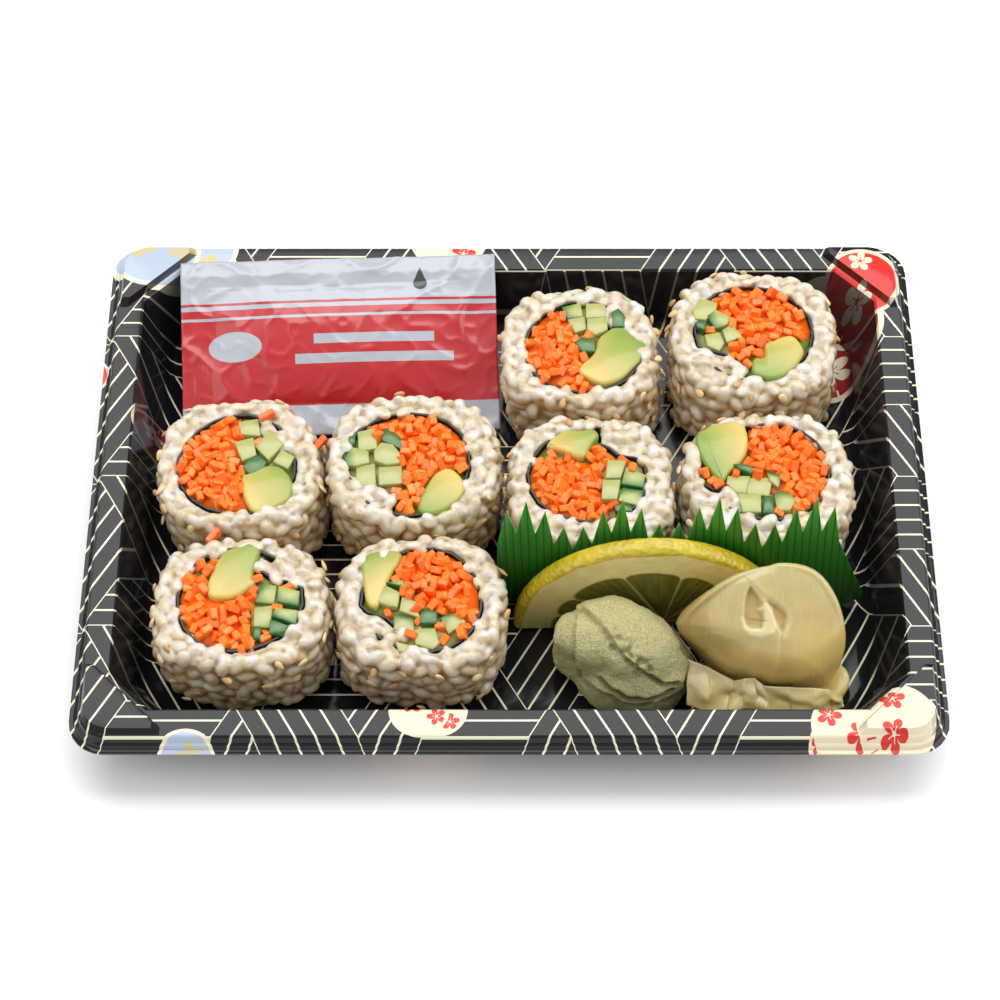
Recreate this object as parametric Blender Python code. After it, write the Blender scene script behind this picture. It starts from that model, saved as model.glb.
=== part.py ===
"""A filled takeaway sushi tray, in metres, +Z up, standing on Z = 0.

A black thermoformed tray holds eight pieces of inside-out roll, a sauce sachet, a green
grass divider, half a slice of lemon, a squeeze of wasabi and a bunch of pickled ginger.
The origin is under the middle of the tray, +X along its length, +Y away from the eater.
Sizes below are in millimetres and are turned into metres where a mesh is written.
"""

import math
import random

import bmesh
import bpy
from mathutils import Vector
from mathutils.geometry import tessellate_polygon

MM = 0.001
GAP = 0.3

# Tray: a sheet 0.6 mm thick, formed over a well with a flat land and a stepped skirt.
TRAY_LENGTH = 216.0
TRAY_WIDTH = 156.0
SHEET = 0.6
LAND_HEIGHT = 20.0
LIP_DROP = 4.3
EXTRA_END_LAND = 0.85
LAND_EDGE = 2.6
PLATEAU_RISE = 2.0
PLATEAU_LEG = 23.2
PLATEAU_MARGIN = 0.5
FLOOR = SHEET
FOOD_BASE = FLOOR + GAP

# Rolls: cut to one height, rice outside, one sheet of nori inside.
ROLL_TOP = 25.0
RICE_POINTS = 26
ROLL_EDGE = 1.8
ROLL_FOOT = 2.3
NORI = 0.5
NORI_STEP = 18.0
FLAP_STEP = 5.0
FLAP_TURN = 58.0
FLAP_COVER = 30.0
FLAP_EASE = 33.0

SACHET_WIDTH = 85.0
SACHET_LENGTH = 49.0
SACHET_SEAL = 8.5
SACHET_FILM = 0.5
SACHET_CROWN = 3.4
SACHET_BELLY = 1.5

DIVIDER_FILM = 0.4
LEMON_RADIUS = 34.5
LEMON_SLICE = 5.0

BLACK = (0.012, 0.012, 0.014)
RICE_WHITE = (0.72, 0.66, 0.52)
NORI_BLACK = (0.010, 0.014, 0.010)
CARROT_ORANGE = (0.90, 0.22, 0.03)
CUCUMBER_GREEN = (0.38, 0.52, 0.16)
AVOCADO_GREEN = (0.58, 0.62, 0.13)
SACHET_RED = (0.50, 0.02, 0.02)
DIVIDER_GREEN = (0.02, 0.24, 0.04)
LEMON_YELLOW = (0.72, 0.55, 0.04)
WASABI_GREEN = (0.36, 0.40, 0.18)
GINGER_CREAM = (0.70, 0.55, 0.30)


def smooth(value):
    """Ease from 0 to 1 as value goes from 0 to 1."""
    value = min(max(value, 0.0), 1.0)
    return value * value * (3.0 - 2.0 * value)


def polar(centre, radius, degrees):
    angle = math.radians(degrees)
    return (centre[0] + radius * math.cos(angle), centre[1] + radius * math.sin(angle))


def finish(name, bm, colour, roughness):
    """Write a bmesh as one closed object with its own material."""
    bmesh.ops.triangulate(bm, faces=bm.faces[:])
    bmesh.ops.recalc_face_normals(bm, faces=bm.faces[:])
    mesh = bpy.data.meshes.new(name)
    bm.to_mesh(mesh)
    bm.free()
    material = bpy.data.materials.new(name)
    material.use_nodes = True
    shader = material.node_tree.nodes["Principled BSDF"]
    shader.inputs["Base Color"].default_value = (*colour, 1.0)
    shader.inputs["Roughness"].default_value = roughness
    shader.inputs["Metallic"].default_value = 0.0
    mesh.materials.append(material)
    piece = bpy.data.objects.new(name, mesh)
    bpy.context.collection.objects.link(piece)
    mesh.shade_smooth()
    mesh.set_sharp_from_angle(angle=math.radians(35.0))
    return piece


def add_ring(bm, points):
    return [bm.verts.new((x * MM, y * MM, z * MM)) for x, y, z in points]


def bridge(bm, lower, upper):
    """Join two rings of equal count with quads."""
    count = len(lower)
    for index in range(count):
        after = (index + 1) % count
        bm.faces.new((lower[index], lower[after], upper[after], upper[index]))


def cap(bm, rings):
    """Fill the flat area inside the first ring and outside the others."""
    loops = [[Vector((v.co.x, v.co.y, 0.0)) for v in ring] for ring in rings]
    verts = [vert for ring in rings for vert in ring]
    for triangle in tessellate_polygon(loops):
        bm.faces.new([verts[index] for index in triangle])


def prism(name, outline, base, top, colour, roughness, lean=(0.0, 0.0)):
    """Raise an outline straight up, or along a lean, as one solid."""
    bm = bmesh.new()
    rise = (top - base) / (ROLL_TOP - FOOD_BASE)
    lower = add_ring(bm, [(x, y, base) for x, y in outline])
    upper = add_ring(bm, [(x + lean[0] * rise, y + lean[1] * rise, top) for x, y in outline])
    bridge(bm, lower, upper)
    cap(bm, [lower])
    cap(bm, [upper])
    return finish(name, bm, colour, roughness)


# --- Tray -----------------------------------------------------------------------------

def corner_points(leg, straightness, steps=6):
    """Points that round one corner, as distances in from it; 1 makes a straight chamfer."""
    points = []
    for step in range(steps + 1):
        share = step / steps
        angle = share * math.pi / 2.0
        across = leg * ((1.0 - math.cos(angle)) * (1.0 - straightness) + share * straightness)
        along = leg * ((1.0 - math.sin(angle)) * (1.0 - straightness)
                       + (1.0 - share) * straightness)
        points.append((across, along))
    return points


def tray_ring(inset, height, leg, straightness):
    """One level ring of the tray, set in from the lip all round."""
    half_x = TRAY_LENGTH / 2.0 - inset
    half_y = TRAY_WIDTH / 2.0 - inset
    if inset > LAND_EDGE + 1.0:
        half_y -= EXTRA_END_LAND
    ring = []
    for sign_x, sign_y in ((1, 1), (-1, 1), (-1, -1), (1, -1)):
        points = corner_points(leg, straightness)
        if sign_x * sign_y < 0:
            points.reverse()
        for across, along in points:
            ring.append((sign_x * (half_x - across), sign_y * (half_y - along), height))
    return ring


def offset_profile(profile, distance):
    """Shift a profile of (inset, height) points to the sheet's other side."""
    shifted = []
    for index, point in enumerate(profile):
        before = profile[max(index - 1, 0)]
        after = profile[min(index + 1, len(profile) - 1)]
        normals = []
        for start, end in ((before, point), (point, after)):
            run = (end[0] - start[0], end[1] - start[1])
            length = math.hypot(*run)
            if length > 0.0:
                normals.append((run[1] / length, -run[0] / length))
        mean = [sum(normal[axis] for normal in normals) / len(normals) for axis in (0, 1)]
        size = mean[0] ** 2 + mean[1] ** 2
        shifted.append(tuple(point[axis] + distance * mean[axis] / size for axis in (0, 1)))
    return shifted


def make_tray():
    lip = LAND_HEIGHT - LIP_DROP
    profile = (
        (0.0, lip + SHEET, 9.0, 0.0),
        (1.0, lip + SHEET, 8.6, 0.0),
        (1.4, lip + 2.0, 8.4, 0.0),
        (2.1, lip + 2.3, 8.0, 0.0),
        (LAND_EDGE, LAND_HEIGHT - 0.5, 7.4, 0.0),
        (LAND_EDGE + 0.5, LAND_HEIGHT, 7.0, 0.0),
        (9.1, LAND_HEIGHT, 10.0, 1.0),
        (9.7, LAND_HEIGHT - 0.6, 10.0, 1.0),
        (14.4, FLOOR + 5.0, 9.5, 0.8),
        (15.6, FLOOR + 2.2, 9.0, 0.7),
        (17.2, FLOOR + 0.7, 8.5, 0.6),
        (19.2, FLOOR, 8.0, 0.5),
    )
    upper = [(inset, height) for inset, height, leg, straightness in profile]
    lower = offset_profile(upper, SHEET)
    shapes = [(leg, straightness) for inset, height, leg, straightness in profile]
    levels = list(reversed(list(zip(upper, shapes)))) + list(zip(lower, shapes))
    bm = bmesh.new()
    rings = []
    for (inset, height), (leg, straightness) in levels:
        rings.append(add_ring(bm, tray_ring(inset, max(height, 0.0), leg, straightness)))
    for first, second in zip(rings, rings[1:]):
        bridge(bm, first, second)
    cap(bm, [rings[0]])
    cap(bm, [rings[-1]])
    tray = finish("tray", bm, BLACK, 0.2)
    for sign_x, sign_y in ((1, 1), (-1, 1), (-1, -1), (1, -1)):
        tag = ("right" if sign_x > 0 else "left") + ("_back" if sign_y > 0 else "_front")
        rise = plateau("plateau_" + tag, sign_x, sign_y, 0.0, LAND_HEIGHT - 0.3,
                       LAND_HEIGHT + PLATEAU_RISE)
        hollow = plateau("hollow_" + tag, sign_x, sign_y, 1.3, LAND_HEIGHT - SHEET - 0.4,
                         LAND_HEIGHT + PLATEAU_RISE - SHEET)
        combine(tray, rise, "UNION")
        combine(tray, hollow, "DIFFERENCE")
    return tray


def plateau(name, sign_x, sign_y, inset, base, top):
    """A raised three-cornered step on one corner of the land, or the hollow under it."""
    corner = (TRAY_LENGTH / 2.0 - LAND_EDGE - PLATEAU_MARGIN,
              TRAY_WIDTH / 2.0 - LAND_EDGE - PLATEAU_MARGIN)
    bm = bmesh.new()
    rings = []
    for height, draft in ((base, 0.0), (top, 0.9)):
        shrink = inset + draft
        reach = PLATEAU_LEG - PLATEAU_MARGIN - 2.4 * shrink
        blunt = 2.6
        spots = [(across + shrink, along + shrink)
                 for across, along in corner_points(6.4, 0.0, 4)]
        spots += [(reach - blunt, shrink), (reach - blunt, shrink + 0.8 * blunt)]
        spots += [(shrink + 0.8 * blunt, reach - blunt), (shrink, reach - blunt)]
        ring = [(sign_x * (corner[0] - across), sign_y * (corner[1] - along), height)
                for across, along in sort_round(spots)]
        rings.append(add_ring(bm, ring))
    bridge(bm, rings[0], rings[1])
    cap(bm, [rings[0]])
    cap(bm, [rings[1]])
    return finish(name, bm, BLACK, 0.2)


def sort_round(spots):
    """Order the corners of a convex outline by their angle about its middle."""
    middle = (sum(x for x, y in spots) / len(spots), sum(y for x, y in spots) / len(spots))
    return sorted(spots, key=lambda spot: math.atan2(spot[1] - middle[1], spot[0] - middle[0]))


def combine(target, tool, operation):
    """Join a piece to the target, or cut it away, and keep the tool as a guide."""
    modifier = target.modifiers.new(tool.name, "BOOLEAN")
    modifier.object = tool
    modifier.operation = operation
    modifier.solver = "EXACT"
    tool.hide_render = True
    tool.display_type = "WIRE"


# --- Rolls ----------------------------------------------------------------------------

class Roll:
    """One piece of roll: the middle and half sizes of its cut face, the nori ring inside it,
    the angle where the sheet's inner end starts, how far its top leans from its foot, and
    the hub and first angles of the carrot, cucumber and avocado round it."""

    def __init__(self, number, middle, half, nori_middle, nori_half, seam, lean, hub, angles):
        self.number = number
        self.middle = middle
        self.half = half
        self.nori_middle = nori_middle
        self.nori_half = nori_half
        self.seam = seam
        self.lean = lean
        self.hub = (nori_middle[0] + hub[0], nori_middle[1] + hub[1])
        self.angles = dict(zip(("carrot", "cucumber", "avocado"), angles))
        self.wobble = random.Random(40 + number)
        self.phases = [self.wobble.uniform(0.0, 360.0) for _ in range(4)]

    def shift(self, spot, share):
        """Move a spot of the cut face to where it lies at a share of the height."""
        return (spot[0] - self.lean[0] * (1.0 - share), spot[1] - self.lean[1] * (1.0 - share))

    def outside(self, degrees, inset):
        """The rice's outer face: a rounded square, pressed uneven."""
        angle = math.radians(degrees)
        power = 2.7
        cosine = abs(math.cos(angle)) / self.half[0]
        sine = abs(math.sin(angle)) / self.half[1]
        radius = (cosine ** power + sine ** power) ** (-1.0 / power)
        for index, phase in enumerate(self.phases):
            lobes = index + 3
            dent = math.cos(math.radians(lobes * degrees + phase))
            radius -= 0.2 * (0.95 - dent)
        return polar(self.middle, radius - inset, degrees)

    def nori_radius(self, degrees):
        """The sheet's middle line where it closes round the fillings."""
        angle = math.radians(degrees)
        radius = 1.0 / math.hypot(math.cos(angle) / self.nori_half[0],
                                  math.sin(angle) / self.nori_half[1])
        return radius + 0.35 * math.cos(math.radians(3.0 * degrees + self.phases[0]))

    def tuck(self, turn):
        """How far in the sheet's inner end lies, a turn in degrees past the seam."""
        return FLAP_STEP * smooth((FLAP_TURN - turn) / (FLAP_TURN - FLAP_EASE))

    def sheet_turns(self):
        """The turns past the seam at which the sheet's path has a point."""
        turns = [0.0, FLAP_EASE / 2.0, FLAP_EASE, 41.0, 49.0]
        steps = round((360.0 - FLAP_TURN) / NORI_STEP)
        turns += [FLAP_TURN + (360.0 - FLAP_TURN) * step / steps for step in range(steps + 1)]
        return turns

    def sheet_spot(self, turn, offset):
        degrees = self.seam - turn
        radius = self.nori_radius(degrees) + offset
        if turn < FLAP_TURN:
            radius -= self.tuck(turn)
        return polar(self.nori_middle, radius, degrees)

    def sheet_line(self, offset):
        """The sheet's path from its tucked inner end to its outer end."""
        turns = self.sheet_turns() + [360.0 + FLAP_COVER / 2.0, 360.0 + FLAP_COVER]
        return [self.sheet_spot(turn, offset) for turn in turns]

    def cover_line(self, offset):
        """The sheet's outer end, from over the tucked end to where it stops."""
        turns = [0.0, FLAP_COVER / 2.0, FLAP_COVER]
        return [polar(self.nori_middle, self.nori_radius(self.seam - turn) + offset,
                      self.seam - turn) for turn in turns]

    def rice_hole(self):
        """The edge of the rice inside: round the fillings, the sheet and the tucked flap."""
        margin = NORI / 2.0 + GAP
        inner = self.sheet_line(margin)
        end = polar(self.nori_middle,
                    self.nori_radius(self.seam - FLAP_COVER) + margin,
                    self.seam - FLAP_COVER - 1.5)
        back = self.cover_line(-margin)
        back[-1] = polar(self.nori_middle,
                         self.nori_radius(self.seam - FLAP_COVER) - margin,
                         self.seam - FLAP_COVER - 1.5)
        return inner[:-1] + [end] + back[::-1]

    def fillings_edge(self):
        """The space inside the sheet, as a closed outline."""
        margin = NORI / 2.0 + GAP
        turns = [-3.0] + self.sheet_turns()[:-1] + [352.0]
        return [self.sheet_spot(turn, -margin) for turn in turns][::-1]

    def sector(self, start, end):
        """The part of the fillings between two rays from the hub."""
        edge = self.fillings_edge()
        half = math.radians((end - start) / 2.0)
        hub = polar(self.hub, GAP / 2.0 / math.sin(half), (start + end) / 2.0)
        first = ray_hit(hub, start, edge)
        last = ray_hit(hub, end, edge)
        outline = [hub, point_at(edge, first)]
        place = math.floor(first) + 1
        stop = last if last > first else last + len(edge)
        while place < stop:
            spot = edge[place % len(edge)]
            if apart(spot, outline[-1]) > 0.8 and apart(spot, point_at(edge, last)) > 0.8:
                outline.append(spot)
            place += 1
        outline.append(point_at(edge, last))
        return outline


def apart(first, second):
    return math.hypot(first[0] - second[0], first[1] - second[1])


def point_at(edge, place):
    index = int(math.floor(place))
    share = place - index
    start = edge[index % len(edge)]
    end = edge[(index + 1) % len(edge)]
    return (start[0] + (end[0] - start[0]) * share, start[1] + (end[1] - start[1]) * share)


def ray_hit(hub, degrees, edge):
    """Where a ray from the hub first meets the edge, as an index along it."""
    direction = (math.cos(math.radians(degrees)), math.sin(math.radians(degrees)))
    best = (math.inf, 0.0)
    for index, start in enumerate(edge):
        end = edge[(index + 1) % len(edge)]
        side = (end[0] - start[0], end[1] - start[1])
        away = (start[0] - hub[0], start[1] - hub[1])
        cross = direction[0] * side[1] - direction[1] * side[0]
        if abs(cross) < 1e-9:
            continue
        reach = (away[0] * side[1] - away[1] * side[0]) / cross
        share = (away[0] * direction[1] - away[1] * direction[0]) / cross
        if reach > 0.0 and 0.0 <= share < 1.0:
            best = min(best, (reach, index + share))
    return best[1]


def make_rice(roll):
    """The rice round one piece, with the flap that the sheet's inner end tucks in."""
    levels = (
        (FOOD_BASE, ROLL_FOOT),
        (FOOD_BASE + 2.8, 0.0),
        (ROLL_TOP - ROLL_EDGE, 0.0),
        (ROLL_TOP, ROLL_EDGE),
    )
    bm = bmesh.new()
    rings = []
    for height, inset in levels:
        share = (height - FOOD_BASE) / (ROLL_TOP - FOOD_BASE)
        ring = []
        for index in range(RICE_POINTS):
            degrees = 360.0 * index / RICE_POINTS
            x, y = roll.shift(roll.outside(degrees, inset), share)
            lift = roll.wobble.uniform(-0.5, 0.4) if height == ROLL_TOP else 0.0
            ring.append((x, y, height + lift))
        rings.append(add_ring(bm, ring))
    hole = roll.rice_hole()
    low = add_ring(bm, [(*roll.shift(spot, 0.0), FOOD_BASE) for spot in hole])
    high = add_ring(bm, [(*spot, ROLL_TOP + roll.wobble.uniform(-0.4, 0.3)) for spot in hole])
    for first, second in zip(rings, rings[1:]):
        bridge(bm, first, second)
    bridge(bm, low, high)
    cap(bm, [rings[0], low])
    cap(bm, [rings[-1], high])
    finish("roll_%d_rice" % roll.number, bm, RICE_WHITE, 0.5)


def make_nori(roll):
    """One strip of nori standing on edge, closed round the fillings and over its own end."""
    outline = roll.sheet_line(NORI / 2.0) + roll.sheet_line(-NORI / 2.0)[::-1]
    base = [roll.shift(spot, 0.0) for spot in outline]
    prism("roll_%d_nori" % roll.number, base, FOOD_BASE, ROLL_TOP - 0.3, NORI_BLACK, 0.6,
          roll.lean)


def make_fillings(roll):
    """Carrot shreds, cucumber sticks and avocado, each filling its share of the roll."""
    looks = {
        "carrot": (CARROT_ORANGE, 0.4, 0.4),
        "cucumber": (CUCUMBER_GREEN, 0.35, 0.1),
        "avocado": (AVOCADO_GREEN, 0.45, 0.0),
    }
    starts = sorted(roll.angles.values())
    for name, start in roll.angles.items():
        place = starts.index(start)
        end = starts[place + 1] if place + 1 < len(starts) else starts[0] + 360.0
        colour, roughness, proud = looks[name]
        base = [roll.shift(spot, 0.0) for spot in roll.sector(start, end)]
        prism("roll_%d_%s" % (roll.number, name), base, FOOD_BASE, ROLL_TOP + proud, colour,
              roughness, roll.lean)


def make_rolls():
    rolls = (
        Roll(1, (-69.5, 1.5), (21.6, 21.0), (-69.8, 1.1), (15.1, 15.4), 65, (-1.5, 0.5),
             (1.3, -1.0), (93, 3, 280)),
        Roll(2, (-24.6, 3.2), (22.9, 21.2), (-26.1, 1.6), (16.2, 15.8), 252, (0.0, 0.8),
             (0.8, -3.5), (15, 115, 242)),
        Roll(3, (-67.2, -39.9), (22.5, 20.0), (-67.2, -39.2), (15.6, 14.9), 70, (-0.8, -0.5),
             (2.7, 0.5), (152, 273, 79)),
        Roll(4, (-21.8, -39.6), (21.9, 20.1), (-21.6, -39.3), (15.0, 15.0), 244, (0.5, -0.5),
             (-1.5, 3.0), (320, 226, 128)),
        Roll(5, (18.2, 39.1), (21.5, 20.3), (19.4, 38.4), (15.4, 14.8), 68, (-1.7, 0.8),
             (1.1, -2.0), (116, 40, 283)),
        Roll(6, (64.8, 43.3), (22.6, 21.4), (64.6, 43.3), (15.6, 15.4), 255, (0.3, 3.4),
             (-0.6, -3.0), (8, 125, 244)),
        Roll(7, (20.8, -3.4), (21.9, 21.0), (20.2, -1.9), (15.2, 14.6), 72, (0.0, 0.3),
             (1.8, 4.0), (176, 282, 75)),
        Roll(8, (66.5, -3.0), (22.4, 21.4), (65.9, -0.8), (16.6, 14.7), 252, (0.6, 0.3),
             (-4.0, -1.0), (-46, 218, 90)),
    )
    for roll in rolls:
        make_rice(roll)
        make_nori(roll)
        make_fillings(roll)


# --- Sachet, divider, lemon, wasabi and ginger ------------------------------------------

def make_sachet():
    """A flat sealed sachet that leans from the floor up over the back land."""
    columns = 12
    rows = 9
    foot = (-44.8, 25.5, 2.4)
    bend = (66.0, 20.95)
    turn = math.radians(2.2)
    slope = math.atan2(bend[1] - foot[2], bend[0] - foot[1])
    straight = math.hypot(bend[1] - foot[2], bend[0] - foot[1])

    def spine(along):
        if along < straight:
            return (foot[1] + along * math.cos(slope), foot[2] + along * math.sin(slope))
        return (bend[0] + (along - straight), bend[1] + 0.05 * (along - straight))

    def swell(across, along):
        """1 in the middle of the pouch and 0 on its seals."""
        inner_x = abs(across) / (SACHET_WIDTH / 2.0 - SACHET_SEAL)
        inner_y = abs(along - SACHET_LENGTH / 2.0) / (SACHET_LENGTH / 2.0 - SACHET_SEAL)
        return math.sqrt(max(0.0, 1.0 - inner_x ** 2.6) * max(0.0, 1.0 - inner_y ** 2.2))

    bm = bmesh.new()
    sides = []
    for side in (1.0, -1.0):
        grid = []
        for row in range(rows + 1):
            along = SACHET_LENGTH * row / rows
            line = []
            for column in range(columns + 1):
                across = SACHET_WIDTH * (column / columns - 0.5)
                bulge = SACHET_CROWN if side > 0 else SACHET_BELLY
                lift = side * (SACHET_FILM / 2.0 + bulge * swell(across, along))
                y, z = spine(along)
                y -= lift * math.sin(slope)
                z += lift * math.cos(slope)
                x = foot[0] + across * math.cos(turn) - (y - foot[1]) * math.sin(turn)
                y = foot[1] + across * math.sin(turn) + (y - foot[1]) * math.cos(turn)
                line.append(bm.verts.new((x * MM, y * MM, z * MM)))
            grid.append(line)
        sides.append(grid)
    for grid in sides:
        for row in range(rows):
            for column in range(columns):
                bm.faces.new((grid[row][column], grid[row][column + 1],
                              grid[row + 1][column + 1], grid[row + 1][column]))
    bridge(bm, border(sides[0]), border(sides[1]))
    finish("sachet", bm, SACHET_RED, 0.3)


def border(grid):
    """The outer edge of a grid of vertices, once round."""
    edge = list(grid[0])
    edge += [line[-1] for line in grid[1:]]
    edge += grid[-1][-2::-1]
    edge += [line[0] for line in grid[-2:0:-1]]
    return edge


def make_divider():
    """A strip of green film with a saw-toothed top, standing in front of two rolls."""
    teeth = 18
    left = -3.0
    pitch = 4.75
    foot_end = 88.2
    rings = []
    bm = bmesh.new()
    for side in (0.5, -0.5):
        low = []
        high = []
        for index in range(2 * teeth + 1):
            tooth = index / 2.0
            wave = math.cos(2.0 * math.pi * (tooth - 1.5) / 5.0)
            if index % 2:
                height = 39.5 + 6.0 * wave + 3.0 * tooth / teeth
            else:
                height = 28.5 + 4.0 * wave + 2.0 * tooth / teeth
            low.append(divider_spot(left + (foot_end - left) * tooth / teeth, FOOD_BASE, side))
            high.append(divider_spot(left + pitch * tooth, height, side))
        low[-1] = divider_spot(foot_end + 3.0, FOOD_BASE + 4.0, side)
        rings.append(add_ring(bm, low + high[::-1]))
    bridge(bm, rings[0], rings[1])
    for ring in rings:
        half = len(ring) // 2
        for index in range(half - 1):
            bm.faces.new((ring[index], ring[index + 1], ring[-2 - index], ring[-1 - index]))
    finish("divider", bm, DIVIDER_GREEN, 0.3)


def divider_spot(across, height, side):
    """A point of the divider: it waves a little and leans back as it rises."""
    depth = -26.2 - 0.35 * math.sin(across / 9.0) - 0.006 * across
    depth += 0.055 * height + side * DIVIDER_FILM
    return (across, depth, height)


def make_lemon():
    """Half a slice of lemon standing on its cut edge against the divider."""
    hub = (35.6, -33.3, FOOD_BASE)
    turn = math.radians(1.2)
    lean = math.radians(2.0)
    points = 24
    bm = bmesh.new()
    rings = []
    for depth, shrink in ((0.0, 0.9), (0.22, 0.0), (0.78, 0.0), (1.0, 0.9)):
        ring = []
        for index in range(points + 1):
            angle = math.pi * index / points
            radius = LEMON_RADIUS - shrink
            across = radius * math.cos(angle)
            rise = radius * math.sin(angle)
            back = depth * LEMON_SLICE * math.cos(lean) + rise * math.sin(lean)
            ring.append((hub[0] + across * math.cos(turn) - back * math.sin(turn),
                         hub[1] + across * math.sin(turn) + back * math.cos(turn),
                         hub[2] + rise * math.cos(lean)))
        rings.append(add_ring(bm, ring))
    for first, second in zip(rings, rings[1:]):
        bridge(bm, first, second)
    bm.faces.new(rings[0])
    bm.faces.new(rings[-1])
    finish("lemon", bm, LEMON_YELLOW, 0.35)


def mound(name, middle, half, turn, height, colour, roughness, levels, points, shape):
    """A lump that stands on a flat foot; shape gives each point's radius and height share."""
    bm = bmesh.new()
    rings = []
    for level in range(levels + 1):
        ring = []
        for index in range(points if level < levels else 1):
            degrees = 360.0 * index / points
            radius, rise, drift = shape(level / levels, degrees)
            x, y = polar((0.0, 0.0), radius, degrees)
            x, y = (half[0] * x, half[1] * y)
            cosine, sine = (math.cos(math.radians(turn)), math.sin(math.radians(turn)))
            ring.append((middle[0] + x * cosine - y * sine + drift[0],
                         middle[1] + x * sine + y * cosine + drift[1],
                         middle[2] + height * rise))
        rings.append(add_ring(bm, ring))
    for first, second in zip(rings, rings[1:-1]):
        bridge(bm, first, second)
    cap(bm, [rings[0]])
    last = rings[-2]
    for index in range(points):
        bm.faces.new((last[index], last[(index + 1) % points], rings[-1][0]))
    return finish(name, bm, colour, roughness)


def bump(value, middle, width):
    """1 at the middle, falling off smoothly over the width on both sides."""
    return math.exp(-((value - middle) / width) ** 2)


def make_wasabi():
    """A squeezed lump: a big lobe folded down over a lower one, with a crease between."""

    def shape(share, degrees):
        angle = math.radians(degrees)
        bulge = math.cos(share * math.pi / 2.0) ** 0.62
        foot = 1.0 - 0.10 * smooth(1.0 - share / 0.12)
        lobes = 1.0 + 0.04 * math.cos(3.0 * angle + 0.8) + 0.03 * math.cos(5.0 * angle)
        near = 0.5 + 0.5 * math.cos(angle - math.radians(235.0))
        crease = 0.12 * near * bump(share, 0.36 + 0.10 * math.cos(angle), 0.10)
        brow = 0.07 * near * bump(share, 0.56, 0.12)
        rise = math.sin(share * math.pi / 2.0) ** 0.85
        return bulge * foot * (lobes - crease + brow), rise, (-2.5 * share, 2.0 * share)

    mound("wasabi", (28.2, -46.6, FOOD_BASE), (17.4, 10.3), -14.0, 22.0, WASABI_GREEN, 0.8,
          10, 24, shape)


def make_ginger():
    """Thin slices of ginger: two lie wavy on the floor, the rest are gathered on top."""
    slices = (
        ("ginger_slice_left", (60.4, -49.6), (13.4, 8.2), FOOD_BASE, 5),
        ("ginger_slice_right", (73.0, -50.2), (13.4, 8.6), FOOD_BASE + 1.9, 4),
    )
    for name, middle, half, base, waves in slices:
        wavy_slice(name, middle, half, base, waves)

    def shape(share, degrees):
        angle = math.radians(degrees)
        bulge = math.cos(share * math.pi / 2.0) ** 0.6
        foot = 1.0 - 0.12 * smooth(1.0 - share / 0.18)
        spiral = 0.07 * ((degrees + 75.0) % 360.0) / 360.0
        lobes = 1.03 + 0.03 * math.cos(2.0 * angle + 0.6) + 0.03 * math.cos(3.0 * angle + 2.4)
        rise = math.sin(share * math.pi / 2.0) ** 0.8
        rim = 0.05 * math.cos(angle - math.radians(60.0)) * smooth((share - 0.3) / 0.4)
        pit = 0.26 * smooth((share - 0.78) / 0.2)
        rim *= 1.0 - smooth((share - 0.9) / 0.1)
        return bulge * foot * (lobes - spiral), rise + rim - pit, (-5.5 * share, 1.0 * share)

    mound("ginger_bunch", (65.6, -46.0, FOOD_BASE + 3.9), (22.0, 11.5), -9.0, 32.5,
          GINGER_CREAM, 0.35, 11, 26, shape)


def wavy_slice(name, middle, half, base, waves):
    """A slice as thin as a coin, flat in its middle, its rim lifted in waves."""
    thickness = 1.2
    points = 24
    bm = bmesh.new()
    sides = []
    for lift in (0.0, thickness):
        rings = []
        for reach in (1.0, 0.72):
            ring = []
            for index in range(points):
                degrees = 360.0 * index / points
                angle = math.radians(degrees)
                x, y = polar((0.0, 0.0), reach, degrees)
                rim = smooth((reach - 0.72) / 0.28)
                wave = 0.5 + 0.5 * math.cos(waves * angle)
                ring.append((middle[0] + half[0] * x, middle[1] + half[1] * y,
                             base + lift + 0.35 * wave * rim))
            rings.append(add_ring(bm, ring))
        sides.append(rings)
    for outer, inner in sides:
        bridge(bm, outer, inner)
        cap(bm, [inner])
    bridge(bm, sides[0][0], sides[1][0])
    finish(name, bm, GINGER_CREAM, 0.35)


for old in list(bpy.data.objects):
    bpy.data.objects.remove(old, do_unlink=True)

make_tray()
make_rolls()
make_sachet()
make_divider()
make_lemon()
make_wasabi()
make_ginger()
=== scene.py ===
import math
import random

import bmesh
import bpy
import numpy
from mathutils import Euler, Matrix, Vector, noise
from mathutils.bvhtree import BVHTree


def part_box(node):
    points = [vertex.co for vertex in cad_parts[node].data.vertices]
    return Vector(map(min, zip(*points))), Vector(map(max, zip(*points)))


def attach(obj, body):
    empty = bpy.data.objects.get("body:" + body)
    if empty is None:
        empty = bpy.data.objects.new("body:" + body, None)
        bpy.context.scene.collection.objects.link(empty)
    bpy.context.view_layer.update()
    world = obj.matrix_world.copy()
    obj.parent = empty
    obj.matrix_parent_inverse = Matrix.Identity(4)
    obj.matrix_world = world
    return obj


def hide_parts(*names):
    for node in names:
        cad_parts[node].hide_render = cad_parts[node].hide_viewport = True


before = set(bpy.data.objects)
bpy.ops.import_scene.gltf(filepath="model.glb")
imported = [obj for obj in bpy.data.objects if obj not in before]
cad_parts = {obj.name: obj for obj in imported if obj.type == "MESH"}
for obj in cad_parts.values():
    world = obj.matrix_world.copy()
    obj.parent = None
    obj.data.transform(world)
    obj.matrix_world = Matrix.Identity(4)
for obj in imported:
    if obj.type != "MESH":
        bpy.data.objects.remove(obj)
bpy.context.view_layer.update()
scene = bpy.context.scene


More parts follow.
